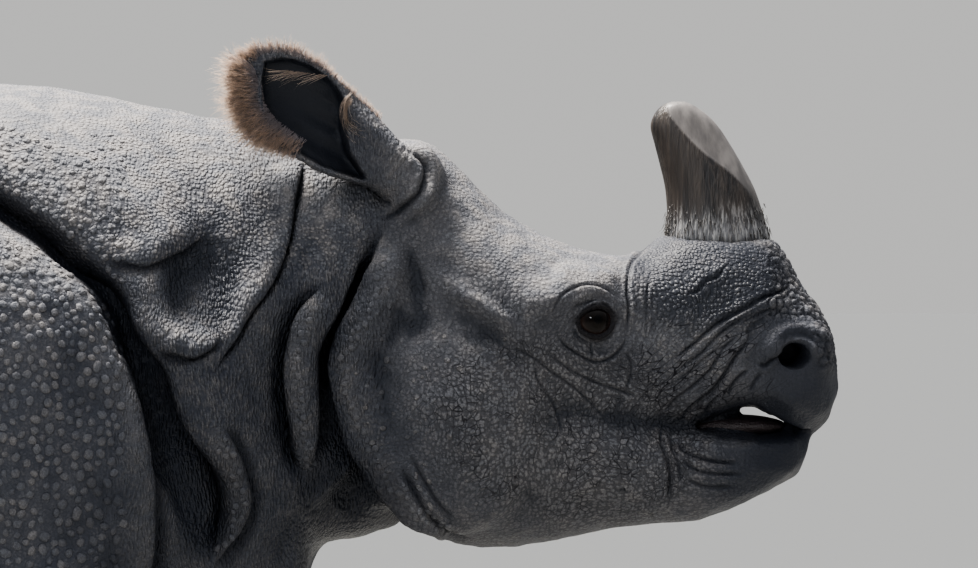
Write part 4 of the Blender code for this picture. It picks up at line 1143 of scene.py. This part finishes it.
def region_marks(mesh):
    """Where the hide is paler (a dusting, with painted light on upward faces and ridges), darker (darker
    skin, with painted shade in hollows, recesses, folds and the mouth), cracked, pebbled, spotted or ribbed.
    """
    points, normals = places(mesh), outward(mesh)
    flat = side_view(points)
    x, y, z = flat[:, 0], points[:, 1], points[:, 2]
    up = between(0.10, 0.95, normals[:, 2])
    head = between(0.88, 0.97, x)
    neck = between(0.46, 0.58, x) * (1 - head)
    shoulder = between(0.62, 0.54, x) * between(-0.02, 0.05, x)
    rump = between(-0.70, -0.78, x)
    ribcage = (1 - rump) * between(0.0, -0.06, x)
    leg = between(0.80, 0.70, z) * between(0.75, 0.65, x)
    belly = between(0.70, 0.60, z) * between(0.20, 0.0, x) * between(-0.85, -0.70, x) * (1 - up)
    forehead = spot_mark(flat, 1.14, 1.41, 0.24, 0.11, -22)
    snout = spot_mark(flat, 1.40, 1.25, 0.10, 0.10)
    boss = spot_mark(flat, 1.415, 1.31, 0.125, 0.080)
    muzzle = between(1.45, 1.54, x) * between(1.28, 1.20, z)
    lips = between(1.40, 1.46, x) * between(1.15, 1.10, z)
    under_eye = spot_mark(flat, 1.21, 1.07, 0.21, 0.13, -12)
    cheek = spot_mark(flat, 1.02, 1.12, 0.17, 0.20)
    throat = spot_mark(flat, 0.87, 0.96, 0.09, 0.08)
    # painted shade inside the mouth
    mouth_shade = (between(1.39, 1.42, x) * between(0.078, 0.060, np.abs(y))
                   * spot_mark(flat, 1.49, 1.088, 0.13, 0.034))
    nape = between(1.28, 1.36, z) * between(0.15, 0.35, x) * between(0.93, 0.86, x)
    hollow = read_mark(mesh, "hollow")

    # dust: real dust, and painted light from above on the upward-facing share
    dust_and_painted_light = 0.62 * up + 0.20 * forehead + 0.10 * nape * up + 0.05
    dust_and_painted_light = dust_and_painted_light * (1 - 0.6 * muzzle) * (1 - 0.5 * throat) * (1 - 0.75 * boss)
    # dark: darker skin on muzzle, lips and throat; painted shade on the boss, inside the mouth and in the
    # ears' hollows
    dark = (0.85 * boss + 0.50 * muzzle + 0.45 * lips + 0.45 * throat + mouth_shade
            + hollow * 0.85)
    mosaic = 0.30 * head + 0.95 * under_eye + 0.25 * leg + 0.30 * belly + 0.18
    mosaic = mosaic * (1 - 0.7 * forehead) * (1 - 0.5 * muzzle) * (1 - 0.6 * shoulder)
    dots = 0.85 * cheek * (1 - 0.5 * under_eye) + 0.5 * snout + 0.25 * ribcage + 0.2 * leg
    pebble = 0.30 + 0.55 * nape + 0.12 * neck + 0.45 * snout + 0.15 * forehead
    pebble = pebble * (1 - 0.6 * muzzle)
    recess_shade, beads = np.zeros(len(x)), np.zeros(len(x))
    ear = (between(0.105, 0.125, np.abs(y)) * between(1.40, 1.46, z) * between(0.68, 0.72, x)
           * between(0.99, 0.94, x))
    # painted shade down the troughs behind the cheek, under the flap and in the throat hollow
    for name, breadth in (("behind_cheek", 0.020), ("under_flap", 0.026), ("throat_hollow", 0.030)):
        distance, along, run = beside(TROUGHS[name][0], flat, 0.09)
        recess_shade = np.maximum(recess_shade, bell(distance, breadth) * between(0, 0.04, along)
                            * between(run, run - 0.03, along))
    for name in ("cheek_flap", "neck_roll_rear", "flap_front", "shield_front"):
        distance, along, run = beside(FOLDS[name][0], flat, 0.09)
        beads = np.maximum(beads, bell(distance - 0.016, 0.012) * between(0, 0.05, along)
                           * between(run, run - 0.03, along))
    lines = (spot_mark(flat, 1.42, 1.18, 0.13, 0.09) + 0.7 * muzzle * between(1.54, 1.50, x)
             + 0.45 * forehead * between(1.05, 1.2, x))
    lines = lines + 0.5 * spot_mark(flat, 1.36, 1.06, 0.06, 0.08)
    ribs = neck * (1 - 0.55 * nape) * 0.9 + 0.15 * belly + 0.75 * ear
    warm = 0.35 * throat + 0.25 * forehead + 0.35 * nape * up + 0.20 * leg * between(0.25, 0.05, z)
    # the lower neck darker, more towards the bottom, and painted shade in the troughs
    dark = dark + (0.16 + 0.26 * between(1.10, 0.98, z)) * neck * between(1.36, 1.22, z) + 0.62 * recess_shade
    dots = dots + 0.5 * beads
    mark(mesh, "beads", beads * (1 - hollow))
    # pale: a painted highlight on the nostril wings and knob tops, and paler beads
    pale = (0.45 * read_mark(mesh, "wing_and_knob_highlight") + 0.20 * beads) * (1 - read_mark(mesh, "groove"))
    fine, broad = hollows(mesh, 6), hollows(mesh, 45)
    # painted shade: skin darker where it lies below its surroundings
    sunk_shade = between(0.0001, 0.0016, fine) * 0.55 + between(0.0004, 0.0060, broad) * 0.55
    # painted highlight: ridges paler, more where they face up
    proud_highlight = between(0.0001, 0.0012, -fine) * 0.35 + between(0.0004, 0.0050, -broad) * 0.40
    dark = dark + sunk_shade * (1 - 0.4 * up)
    dust_and_painted_light = dust_and_painted_light + proud_highlight * (0.30 + 0.5 * up) * (1 - muzzle)
    # fair makes the head paler; its under-eye and snout shares, and those of dust below, are painted light
    # that lifts skin lying in shade
    fair = ((0.48 * head + 0.45 * under_eye) * (1 - 0.9 * boss) * (1 - 0.85 * muzzle)
            * (1 - 0.7 * lips) * (1 - 0.6 * throat))
    fair = fair + 0.35 * snout + 0.12 * shoulder + 0.30 * beads
    dust_and_painted_light = dust_and_painted_light + (0.13 * under_eye + 0.16 * snout + 0.05 * head) * (1 - muzzle) * (1 - lips) * (1 - boss)
    for key, value in (("fair", fair), ("dust_and_painted_light", dust_and_painted_light), ("dark", dark), ("mosaic", mosaic), ("dots", dots),
                       ("pebble", pebble), ("ribs", ribs), ("warm", warm), ("pale", pale), ("lines", lines)):
        kept = 1.0
        if key in ("mosaic", "dots", "ribs", "lines", "pebble"):
            kept = (1 - hollow) * (1 - 0.40 * ear)
        mark(mesh, key, np.clip(value, 0, 1) * kept)
    # painted shade in the fold grooves, softer at the rump, and in the ears' hollows
    groove = read_mark(mesh, "groove") * (1 - 0.35 * between(-0.55, -0.80, x))
    mark(mesh, "groove", np.maximum(groove, 0.5 * hollow))


# ---------------------------------------------------------------- coats: tubercles and hair
MARKS = (*PAINTED, "beads")           # "beads" says where a fold is edged with tubercles


def crowded(spot, other, room):
    """Whether two places are closer than this."""
    return (spot[0] - other[0]) ** 2 + (spot[1] - other[1]) ** 2 + (spot[2] - other[2]) ** 2 < room ** 2


class Ground:
    """The finished hide as arrays, for setting things on it."""

    def __init__(self, hide):
        mesh = hide.data
        mesh.calc_loop_triangles()
        self.corners = np.empty(len(mesh.loop_triangles) * 3, int)
        mesh.loop_triangles.foreach_get("vertices", self.corners)
        self.corners = self.corners.reshape(-1, 3)
        self.points, self.normals = places(mesh), outward(mesh)
        a, b, c = (self.points[self.corners[:, k]] for k in range(3))
        self.areas = np.linalg.norm(np.cross(b - a, c - a), axis=1) / 2
        self.marks = {key: read_mark(mesh, key) for key in MARKS}

    def sow(self, rng, spacing):
        """Random places at least about so far apart; spacing gives metres at each
        corner of the mesh, or 0 for none there."""
        gap = spacing[self.corners].mean(1)
        bare = (spacing[self.corners] <= 0).any(1)
        chance = np.where(bare, 0.0, self.areas / np.maximum(gap, 1e-4) ** 2)
        count = int(chance.sum() * 9)
        faces = np.searchsorted(np.cumsum(chance) / chance.sum(), rng.random(count))
        faces = np.minimum(faces, len(chance) - 1)
        u, v = rng.random(count), rng.random(count)
        flip = u + v > 1
        u[flip], v[flip] = 1 - u[flip], 1 - v[flip]
        weights = np.stack([1 - u - v, u, v], axis=1)
        spots = np.einsum("nk,nkd->nd", weights, self.points[self.corners[faces]])
        grid, kept = {}, []
        cell = gap[faces].max()
        keys = np.floor(spots / cell).astype(int)
        reach = gap[faces] * (0.62 + 0.38 * rng.random(count))
        for i, (kx, ky, kz) in enumerate(keys.tolist()):
            near = (j for dx, dy, dz in product((-1, 0, 1), repeat=3)
                    for j in grid.get((kx + dx, ky + dy, kz + dz), ()))
            if not any(crowded(spots[i], spots[j], 0.5 * (reach[i] + reach[j])) for j in near):
                grid.setdefault((kx, ky, kz), []).append(i)
                kept.append(i)
        kept = np.array(kept)
        faces, weights = faces[kept], weights[kept]
        normals = np.einsum("nk,nkd->nd", weights, self.normals[self.corners[faces]])
        marks = {key: np.einsum("nk,nk->n", weights, values[self.corners[faces]])
                 for key, values in self.marks.items()}
        return spots[kept], unit(normals), reach[kept], marks


def unwrap_ground():
    """A light copy of the flesh, unwrapped once: coat pieces take their map places from it."""
    light = join("light_shape", [merged_copy(node, "light_" + node) for node in FLESH + EARS])
    activate(light)
    bpy.ops.object.mode_set(mode="EDIT")
    bpy.ops.mesh.select_all(action="SELECT")
    bpy.ops.uv.smart_project(angle_limit=math.radians(66), island_margin=0.002)
    bpy.ops.object.mode_set(mode="OBJECT")
    mesh = light.data
    mesh.calc_loop_triangles()
    corners = np.array([tri.vertices[:] for tri in mesh.loop_triangles])
    loops = np.array([tri.loops[:] for tri in mesh.loop_triangles])
    flat = np.empty(len(mesh.loops) * 2)
    mesh.uv_layers.active.uv.foreach_get("vector", flat)
    uv = flat.reshape(-1, 2)[loops]
    points = places(mesh)
    tree = BVHTree.FromPolygons(points.tolist(), corners.tolist())
    bpy.data.objects.remove(light)
    return tree, points[corners], uv


def map_places(ground_map, roots):
    tree, triangles, uv = ground_map
    found = np.empty((len(roots), 2))
    for i, root in enumerate(roots):
        spot, _, face, _ = tree.find_nearest(Vector(root))
        a, b, c = triangles[face]
        n = np.cross(b - a, c - a)
        size = max(n @ n, 1e-18)
        spot = np.array(spot)
        wa = np.cross(b - spot, c - spot) @ n / size
        wb = np.cross(c - spot, a - spot) @ n / size
        found[i] = wa * uv[face][0] + wb * uv[face][1] + (1 - wa - wb) * uv[face][2]
    return np.clip(found, 0.002, 0.998)


def frames_on(normals, lean):
    """Two directions across each normal, the first nearest to the lean direction."""
    first = lean - normals * np.sum(lean * normals, axis=1)[:, None]
    first /= np.maximum(np.linalg.norm(first, axis=1), 1e-9)[:, None]
    return first, np.cross(normals, first)


def sleeve(rings, sides):
    """Triangles that join rings of corners, each to the next."""
    faces = []
    for a, j in product(range(0, (rings - 1) * sides, sides), range(sides)):
        k, b = (j + 1) % sides, a + sides
        faces += [(a + j, a + k, b + k), (a + j, b + k, b + j)]
    return faces


def coat_piece(name, points, faces, uv, marks):
    """One mesh of many small shapes: points (n, k, 3), faces of one shape, uv (n, k, 2)."""
    count, each = points.shape[:2]
    mesh = bpy.data.meshes.new(name)
    faces = np.asarray(faces)
    all_faces = (faces[None] + (np.arange(count) * each)[:, None, None]).reshape(-1, faces.shape[1])
    mesh.vertices.add(count * each)
    mesh.vertices.foreach_set("co", points.ravel().astype(np.float32))
    mesh.loops.add(all_faces.size)
    mesh.loops.foreach_set("vertex_index", all_faces.ravel().astype(np.int32))
    mesh.polygons.add(len(all_faces))
    mesh.polygons.foreach_set("loop_start", (np.arange(len(all_faces)) * faces.shape[1]).astype(np.int32))
    mesh.update(calc_edges=True)
    layer = mesh.uv_layers.new(name="OFBake")
    spread = uv.reshape(-1, 2)[all_faces.ravel()]
    layer.uv.foreach_set("vector", np.ascontiguousarray(spread, np.float32).ravel())
    for key, values in marks.items():
        mark(mesh, key, np.repeat(values, each) if values.ndim == 1 else values.ravel())
    mesh.shade_smooth()
    mesh.validate()
    return new_object(name, mesh)


def finish_piece(piece, finish, slot, *nodes):
    piece.data.materials.clear()
    piece.data.materials.append(finish)
    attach(piece, "root")
    if nodes:
        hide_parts(*nodes)


# A tubercle: a flat-topped round boss of a few rings, each (radius, height)
BOSS_SIDES = 9
PIECE_TRIANGLES = 190000              # the most triangles in one piece of a coat
PATCH = 0.0015                        # half the breadth of one root's place on the map
BOSS_RINGS = [(1.00, -0.35), (0.86, 0.45), (0.52, 0.92)]


def boss_shape():
    angles = np.linspace(0, 2 * math.pi, BOSS_SIDES, endpoint=False)
    ring_points = [(r * math.cos(a), r * math.sin(a), h) for r, h in BOSS_RINGS for a in angles]
    ring_points.append((0, 0, 1.0))
    top = (len(BOSS_RINGS) - 1) * BOSS_SIDES
    cap = [(top + j, top + (j + 1) % BOSS_SIDES, len(ring_points) - 1) for j in range(BOSS_SIDES)]
    return np.array(ring_points), np.array(sleeve(len(BOSS_RINGS), BOSS_SIDES) + cap)


def set_tubercles(ground, ground_map, finish):
    """Round bosses over shoulder, rump, thighs and flanks, smaller ones on cheeks and legs."""
    rng = np.random.default_rng(7)
    flat = side_view(ground.points)
    x, z = flat[:, 0], flat[:, 1]
    side = between(0.90, 0.55, ground.normals[:, 2])
    shoulder = between(0.56, 0.50, x) * between(0.02, 0.06, x) * between(0.52, 0.60, z)
    rump = between(-0.80, -0.84, x) * between(0.50, 0.60, z)
    ribs = between(-0.02, -0.06, x) * between(-0.78, -0.74, x) * between(0.62, 0.72, z)
    legs = between(0.64, 0.56, z) * between(0.10, 0.16, z)
    spacing = np.zeros(len(x))
    spacing[ribs > 0.4] = 0.030
    spacing[legs > 0.4] = 0.024
    near_front = shoulder * between(0.26, 0.50, x) * between(1.25, 1.05, z)
    spacing = np.where(shoulder > 0.4, 0.0165 + 0.0030 * near_front, spacing)
    spacing[rump > 0.4] = 0.0195
    groove = ground.marks["groove"]
    spacing[(side < 0.15) | (ground.normals[:, 2] < -0.6) | (groove > 0.35) | (x > 0.575)] = 0
    spacing[(ground.marks["beads"] > 0.5) & (groove < 0.4) & (x > 0.575)] = 0.0125
    spots, normals, room, marks = ground.sow(rng, spacing)
    shape, faces = boss_shape()
    count = len(spots)
    radius = room * (0.47 + 0.10 * rng.random(count))
    low = between(1.45, 1.20, spots[:, 2])
    radius *= 0.80 + 0.20 * low
    height = radius * (0.24 + 0.14 * rng.random(count))
    first, second = frames_on(normals, rng.normal(size=(count, 3)))
    stretch = 0.85 + 0.3 * rng.random((count, 1, 1))
    wobble = 1 + 0.10 * rng.normal(size=(count, len(shape), 1))
    local = shape[None] * np.array([1, 1, 0]) * wobble
    points = (spots[:, None] + first[:, None] * local[..., :1] * (radius[:, None, None] * stretch)
              + second[:, None] * local[..., 1:2] * (radius[:, None, None] / stretch)
              + normals[:, None] * (shape[None, :, 2:] * height[:, None, None]))
    middle = map_places(ground_map, spots)
    uv = middle[:, None] + shape[None, :, :2] * PATCH
    for key in ("crease", "groove", "mosaic", "ribs", "dots", "lines"):
        marks[key] = marks[key] * 0
    pale = np.clip(0.30 + 0.14 * rng.random(count), 0, 1) * (1 - 0.35 * marks["beads"])
    pale *= 0.72 + 0.28 * between(-0.02, 0.06, spots[:, 0] - SHIFT) * between(0.60, 0.70, spots[:, 2])
    top = shape[None, :, 2] > 0.2
    marks["pale"] = pale[:, None] * np.where(top, 1.0, 0.0)
    # painted shade: a dark ring where each tubercle meets the hide
    marks["crease"] = np.repeat(np.where(top, 0.0, 0.75), count, axis=0)
    pieces = max(1, math.ceil(count * len(faces) / PIECE_TRIANGLES))
    order = np.argsort(spots[:, 0])
    for number, part in enumerate(np.array_split(order, pieces)):
        part_marks = {key: values[part] for key, values in marks.items()}
        piece = coat_piece(f"tubercles_{number + 1}", points[part], faces, uv[part], part_marks)
        finish_piece(piece, finish, "hide")


def strands(roots, ways, normals, lengths, thick, rng, bend=0.35, droop=0.0, curl=0.0, rings=4):
    """Tapered three-sided strands that bend at random, droop, and may all curl one way."""
    count = len(roots)
    t = np.linspace(0, 1, rings + 1)
    side, up = frames_on(unit(ways), normals)
    random_bend = (rng.normal(size=(count, 1)) * side + rng.normal(size=(count, 1)) * up) * bend
    ahead, aside = (np.sin(curl * t) / curl, (1 - np.cos(curl * t)) / curl) if curl else (t, 0 * t)
    spine = (roots[:, None] + ways[:, None] * (lengths[:, None] * ahead)[..., None]
             + up[:, None] * (lengths[:, None] * aside)[..., None]
             + random_bend[:, None] * (lengths[:, None] * t ** 2)[..., None] * 0.5)
    spine[..., 2] -= droop * lengths[:, None] * t ** 2
    angles = np.array([0, 2 * math.pi / 3, 4 * math.pi / 3])
    width = thick[:, None] * (1 - 0.92 * t ** 1.4)[None]
    ring = (side[:, None, None] * np.cos(angles)[None, None, :, None]
            + up[:, None, None] * np.sin(angles)[None, None, :, None])
    points = spine[:, :, None] + ring * width[..., None, None]
    last = rings * 3
    faces = sleeve(rings + 1, 3) + [(2, 1, 0), (last, last + 1, last + 2)]
    return points.reshape(count, -1, 3), np.array(faces), np.repeat(t, 3)


def hair_piece(name, roots, ways, normals, lengths, thick, rng, ground_map, finish, **how):
    points, faces, along = strands(roots, ways, normals, lengths, thick, rng, **how)
    count, each = points.shape[:2]
    middle = map_places(ground_map, roots)
    spread = np.stack([np.tile([-1, 0, 1], each // 3), along * 2 - 1], axis=1)
    uv = middle[:, None] + spread[None] * PATCH
    marks = {"strand": np.tile(along, (count, 1)), "tone": rng.random(count)}
    finish_piece(coat_piece(name, points, faces, uv, marks), finish, "hair")


EAR_FRINGE, EAR_LOCK, EAR_WISPS, HORN_FRINGE, TAIL_BRISTLES = 7400, 60, 40, 900, 900


def set_fringe(name, ear, table, rng, ground_map, finish):
    """Hairs in tufts along the rear rim of one ear, over its tip and down the front rim."""
    root, along, across, opening = ear
    count = EAR_FRINGE
    rear, front = table[table[:, 0] > 0.160], table[table[:, 0] > 0.10][::-1]
    outline = np.concatenate([rear[:, [0, 1]], front[:, [0, 2]]])
    steps = np.linalg.norm(np.diff(outline, axis=0), axis=1)
    run = np.concatenate([[0], np.cumsum(steps)])
    turn = np.interp(0.300, rear[:, 0], run[:len(rear)]) / run[-1]
    at = np.where(rng.random(count) < 0.80, rng.random(count) ** 0.8 * (turn + 0.12),
                  turn + (1 - turn) * rng.random(count) ** 1.2) * run[-1]

    def on_outline(where):
        return np.stack([np.interp(where, run, outline[:, k]) for k in (0, 1)], axis=1)

    reach, wide = on_outline(at).T
    ahead = on_outline(at + 0.012) - on_outline(at - 0.012)
    ahead /= np.maximum(np.linalg.norm(ahead, axis=1), 1e-9)[:, None]
    out_reach, out_wide = ahead[:, 1], -ahead[:, 0]
    frontal = between(turn + 0.02, turn + 0.16, at / run[-1])
    low, high, depth_front, depth_back = (np.interp(reach, table[:, 0], table[:, k]) for k in range(1, 5))
    middle, half = (low + high) / 2, np.maximum((high - low) / 2, 0.004)
    spread = rng.random(count) * (0.032 - 0.025 * frontal)
    wide, reach = wide - out_wide * spread, reach - out_reach * spread
    edge = np.clip((wide - middle) / half, -1, 1)
    facing = (rng.random(count) < 0.60) & (np.abs(edge) > 0.42)
    deep = np.where(facing, 0.9 * depth_front, -depth_back) * (1 - edge ** 2) ** 0.45
    roots = root + np.outer(reach, along) + np.outer(wide, across) + np.outer(deep, opening)
    ways = unit(np.outer(out_wide * 0.95, across) + np.outer(out_reach + 0.30, along)
                + np.outer(np.where(facing, 0.16, -0.10) + 0.12 * rng.normal(size=count), opening)
                + 0.17 * rng.normal(size=(count, 3)))
    tuft = 0.5 + 0.5 * np.sin(at * 420 + 9 * np.sin(at * 77))
    lengths = (0.022 + 0.030 * rng.random(count) * (0.45 + 0.55 * tuft)) * (1 - 0.50 * frontal)
    lengths *= np.maximum(between(0.150, 0.225, reach), 0.55 * (at > turn * run[-1])) * 0.80 + 0.20
    ways += np.outer((tuft - 0.5) * 0.35, along)
    thick = 0.00034 + 0.00026 * rng.random(count)
    hair_piece(name, roots, ways, np.tile(opening, (count, 1)), lengths, thick, rng,
               ground_map, finish, bend=0.45, droop=0.10)


def set_inner_hair(name, ear, reach, wide, deep, lean, length, thick, rng, ground_map, finish, **how):
    """Pale hairs rooted inside the front rim of one ear. They lean along it and out of
    it by these (mean, spread) pairs; length and thickness are (least, range) pairs."""
    root, along, across, opening = ear
    count = len(reach)
    roots = (root + np.outer(reach, along) + np.outer(wide, across)
             + np.outer(np.full(count, deep), opening))
    aside, (ahead, ahead_spread), (out, out_spread) = lean
    ways = unit(np.outer(np.full(count, aside), across)
                + np.outer(ahead + ahead_spread * rng.normal(size=count), along)
                + np.outer(out + out_spread * rng.normal(size=count), opening))
    lengths, breadths = (least + more * rng.random(count) for least, more in (length, thick))
    hair_piece(name, roots, ways, np.tile(opening, (count, 1)), lengths, breadths, rng,
               ground_map, finish, **how)


def set_ear_hair(ground_map, finish, lock_finish):
    """The fringe of each ear, a curled lock low in its hollow and a few hairs streaming back."""
    rng = np.random.default_rng(11)
    table = smooth_columns(EAR_SECTIONS, np.linspace(0.02, 0.3135, 400))
    for side, label in ((1, "left"), (-1, "right")):
        ear = ear_axes(side)
        set_fringe(f"ear_fringe_{label}", ear, table, rng, ground_map, finish)
        reach = 0.146 + 0.014 * rng.random(EAR_LOCK)
        wide = 0.027 + 0.003 * rng.normal(size=EAR_LOCK) + (reach - 0.128) * 0.9
        set_inner_hair(f"ear_lock_{label}", ear, reach, wide, 0.014, (-0.9, (0.25, 0.10), (0.22, 0.06)),
                       (0.055, 0.026), (0.00030, 0.00020), rng, ground_map, lock_finish,
                       bend=0.10, droop=0.05, curl=2.7 * side, rings=10)
        reach = 0.200 + 0.056 * rng.random(EAR_WISPS)
        wide = 0.060 - 0.62 * (reach - 0.200)
        set_inner_hair(f"ear_wisps_{label}", ear, reach, wide, 0.006, (-0.8, (0.60, 0.14), (0.10, 0.08)),
                       (0.024, 0.030), (0.00028, 0.00016), rng, ground_map, lock_finish, bend=0.30)


def set_horn_fringe(horn, ground_map, finish):
    """Frayed fibres where the horn rises from the skin."""
    rng = np.random.default_rng(17)
    points, normals = places(horn.data), outward(horn.data)
    low = np.flatnonzero((points[:, 2] > 1.368) & (points[:, 2] < 1.412))
    count = HORN_FRINGE
    pick = rng.choice(low, count)
    roots = points[pick] + rng.normal(size=(count, 3)) * [0.003, 0.003, 0.005]
    roots -= normals[pick] * 0.0012
    ways = normals[pick] * (0.10 + 0.14 * rng.random((count, 1))) + 0.10 * rng.normal(size=(count, 3))
    ways[:, 2] -= 1.0
    lengths = 0.007 + 0.014 * rng.random(count)
    thick = 0.00035 + 0.00040 * rng.random(count)
    hair_piece("horn_fringe", roots, unit(ways), normals[pick], lengths, thick, rng, ground_map, finish,
               bend=0.35)


def set_tail_hair(ground_map, finish):
    """Stiff black bristles in two rows down the lower tail."""
    rng = np.random.default_rng(13)
    low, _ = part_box("tail")
    count = TAIL_BRISTLES
    up = rng.random(count) ** 1.6
    height = low.z + 0.012 + up * 0.20
    row = np.where(rng.random(count) < 0.5, -1.0, 1.0)
    centre_x = low.x + 0.024
    radius = 0.017 + 0.010 * up
    angle = rng.normal(size=count) * (0.45 + 1.1 * (up < 0.12))
    roots = np.stack([centre_x + row * radius * np.cos(angle), radius * np.sin(angle) + 0.006, height],
                     axis=1)
    ways = unit(np.stack([row * (0.30 + 0.15 * rng.random(count)),
                          0.22 * np.sin(angle) + 0.08 * rng.normal(size=count), np.full(count, -1.0)],
                         axis=1))
    lengths = 0.05 + 0.06 * rng.random(count)
    thick = 0.0005 + 0.0003 * rng.random(count)
    normals = np.stack([row, 0 * row, 0 * row], axis=1)
    hair_piece("tail_bristles", roots, ways, normals, lengths, thick, rng, ground_map, finish,
               bend=0.20, droop=0.25)


# ---------------------------------------------------------------- camera, floor and lights
CAMERA_AWAY, CAMERA_SPAN = 14.0, 1.5159       # metres to the animal, and the width seen there
CAMERA_X, CAMERA_HIGH = 1.0841, 1.2976
SENSOR = 36.0
FLOOR = 0.40
HORIZON = 0.46
ZENITH = HORIZON * (2 / FLOOR - 1)      # with this sky the far floor is as bright as the horizon


def set_camera():
    """A long lens, level with the head, square to the animal's right side."""
    optics = bpy.data.cameras.new("camera")
    optics.sensor_width = SENSOR
    optics.lens = SENSOR * CAMERA_AWAY / CAMERA_SPAN
    optics.clip_end = 400.0
    camera = new_object("camera", optics)
    camera.location = (CAMERA_X + SHIFT, -CAMERA_AWAY, CAMERA_HIGH)
    camera.rotation_euler = (math.radians(90), 0, 0)
    bpy.context.scene.camera = camera


def set_floor():
    deselect()
    bpy.ops.mesh.primitive_plane_add(size=900.0, location=(0, 0, 0))
    floor = bpy.context.object
    floor.name = "floor"
    warm_grey = (FLOOR * 0.921, FLOOR * 0.914, FLOOR * 0.872)
    floor.data.materials.append(Finish("floor_plain").surface(warm_grey, 0.9))


def area_light(name, place, aim, size, power, colour=(1, 1, 1)):
    lamp = bpy.data.lights.new(name, "AREA")
    lamp.shape = "DISK"
    lamp.size = size
    lamp.energy = power
    lamp.color = colour
    made = new_object(name, lamp)
    made.location = place
    made.rotation_euler = (Vector(aim) - Vector(place)).to_track_quat("-Z", "Y").to_euler()
    made.visible_camera = False


def set_light():
    """A pale studio sky, brighter overhead so that far floor and horizon match, and a high key."""
    world = bpy.data.worlds.new("studio")
    bpy.context.scene.world = world
    world.use_nodes = True
    tree = world.node_tree
    background = tree.nodes["Background"]
    direction = tree.nodes.new("ShaderNodeTexCoord")
    parts = tree.nodes.new("ShaderNodeSeparateXYZ")
    height = tree.nodes.new("ShaderNodeMath")
    height.operation = "MULTIPLY"
    blend = tree.nodes.new("ShaderNodeMix")
    blend.data_type = "RGBA"
    blend.inputs[6].default_value = (HORIZON, HORIZON * 0.995, HORIZON * 0.98, 1.0)
    blend.inputs[7].default_value = (ZENITH, ZENITH * 1.01, ZENITH * 1.05, 1.0)
    for feed, socket in ((direction.outputs["Generated"], parts.inputs[0]),
                         (parts.outputs["Z"], height.inputs[0]), (parts.outputs["Z"], height.inputs[1]),
                         (height.outputs[0], blend.inputs["Factor"]),
                         (blend.outputs[2], background.inputs["Color"])):
        tree.links.new(feed, socket)
    background.inputs["Strength"].default_value = 1.0
    area_light("key", (-0.8, 0.5, 6.4), (0.9, 0.0, 1.2), 1.8, 1250.0, (1.0, 0.95, 0.88))
    area_light("front", (-2.0, -8.0, 4.2), (0.8, 0.0, 1.1), 1.5, 150.0, (0.90, 0.95, 1.0))
    bpy.context.scene.view_settings.look = "AgX - High Contrast"


# ---------------------------------------------------------------- assembly
set_camera()
set_floor()
set_light()

hide = make_hide()
region_marks(hide.data)
hide.data.materials.append(hide_finish())
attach(hide, "root")
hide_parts(*FLESH, *EARS)



horn = make_horn()
finish_piece(horn, horn_finish(), "horn", "horn")
eye_material = eye_finish()
for node, side in (("eye_left", 1), ("eye_right", -1)):
    finish_piece(make_eyeball(node, side), eye_material, "eye", node)
nail_material = nail_finish()
for node in NAILS:
    finish_piece(make_nail(node), nail_material, "nail", node)
finish_piece(make_tongue(), tongue_finish(), "tongue", "tongue")

ground = Ground(hide)
ground_map = unwrap_ground()
set_tubercles(ground, ground_map, hide.data.materials[0])
fringe = hair_finish("hair_fringe", (0.230, 0.205, 0.215), (0.590, 0.420, 0.300))
lock = hair_finish("hair_lock", (0.330, 0.260, 0.215), (0.640, 0.520, 0.420))
bristle = hair_finish("hair_bristle", (0.012, 0.010, 0.010), (0.035, 0.028, 0.024))
set_ear_hair(ground_map, fringe, lock)
set_tail_hair(ground_map, bristle)
frayed = hair_finish("hair_horn", (0.030, 0.027, 0.026), (0.170, 0.155, 0.140))
set_horn_fringe(horn, ground_map, frayed)
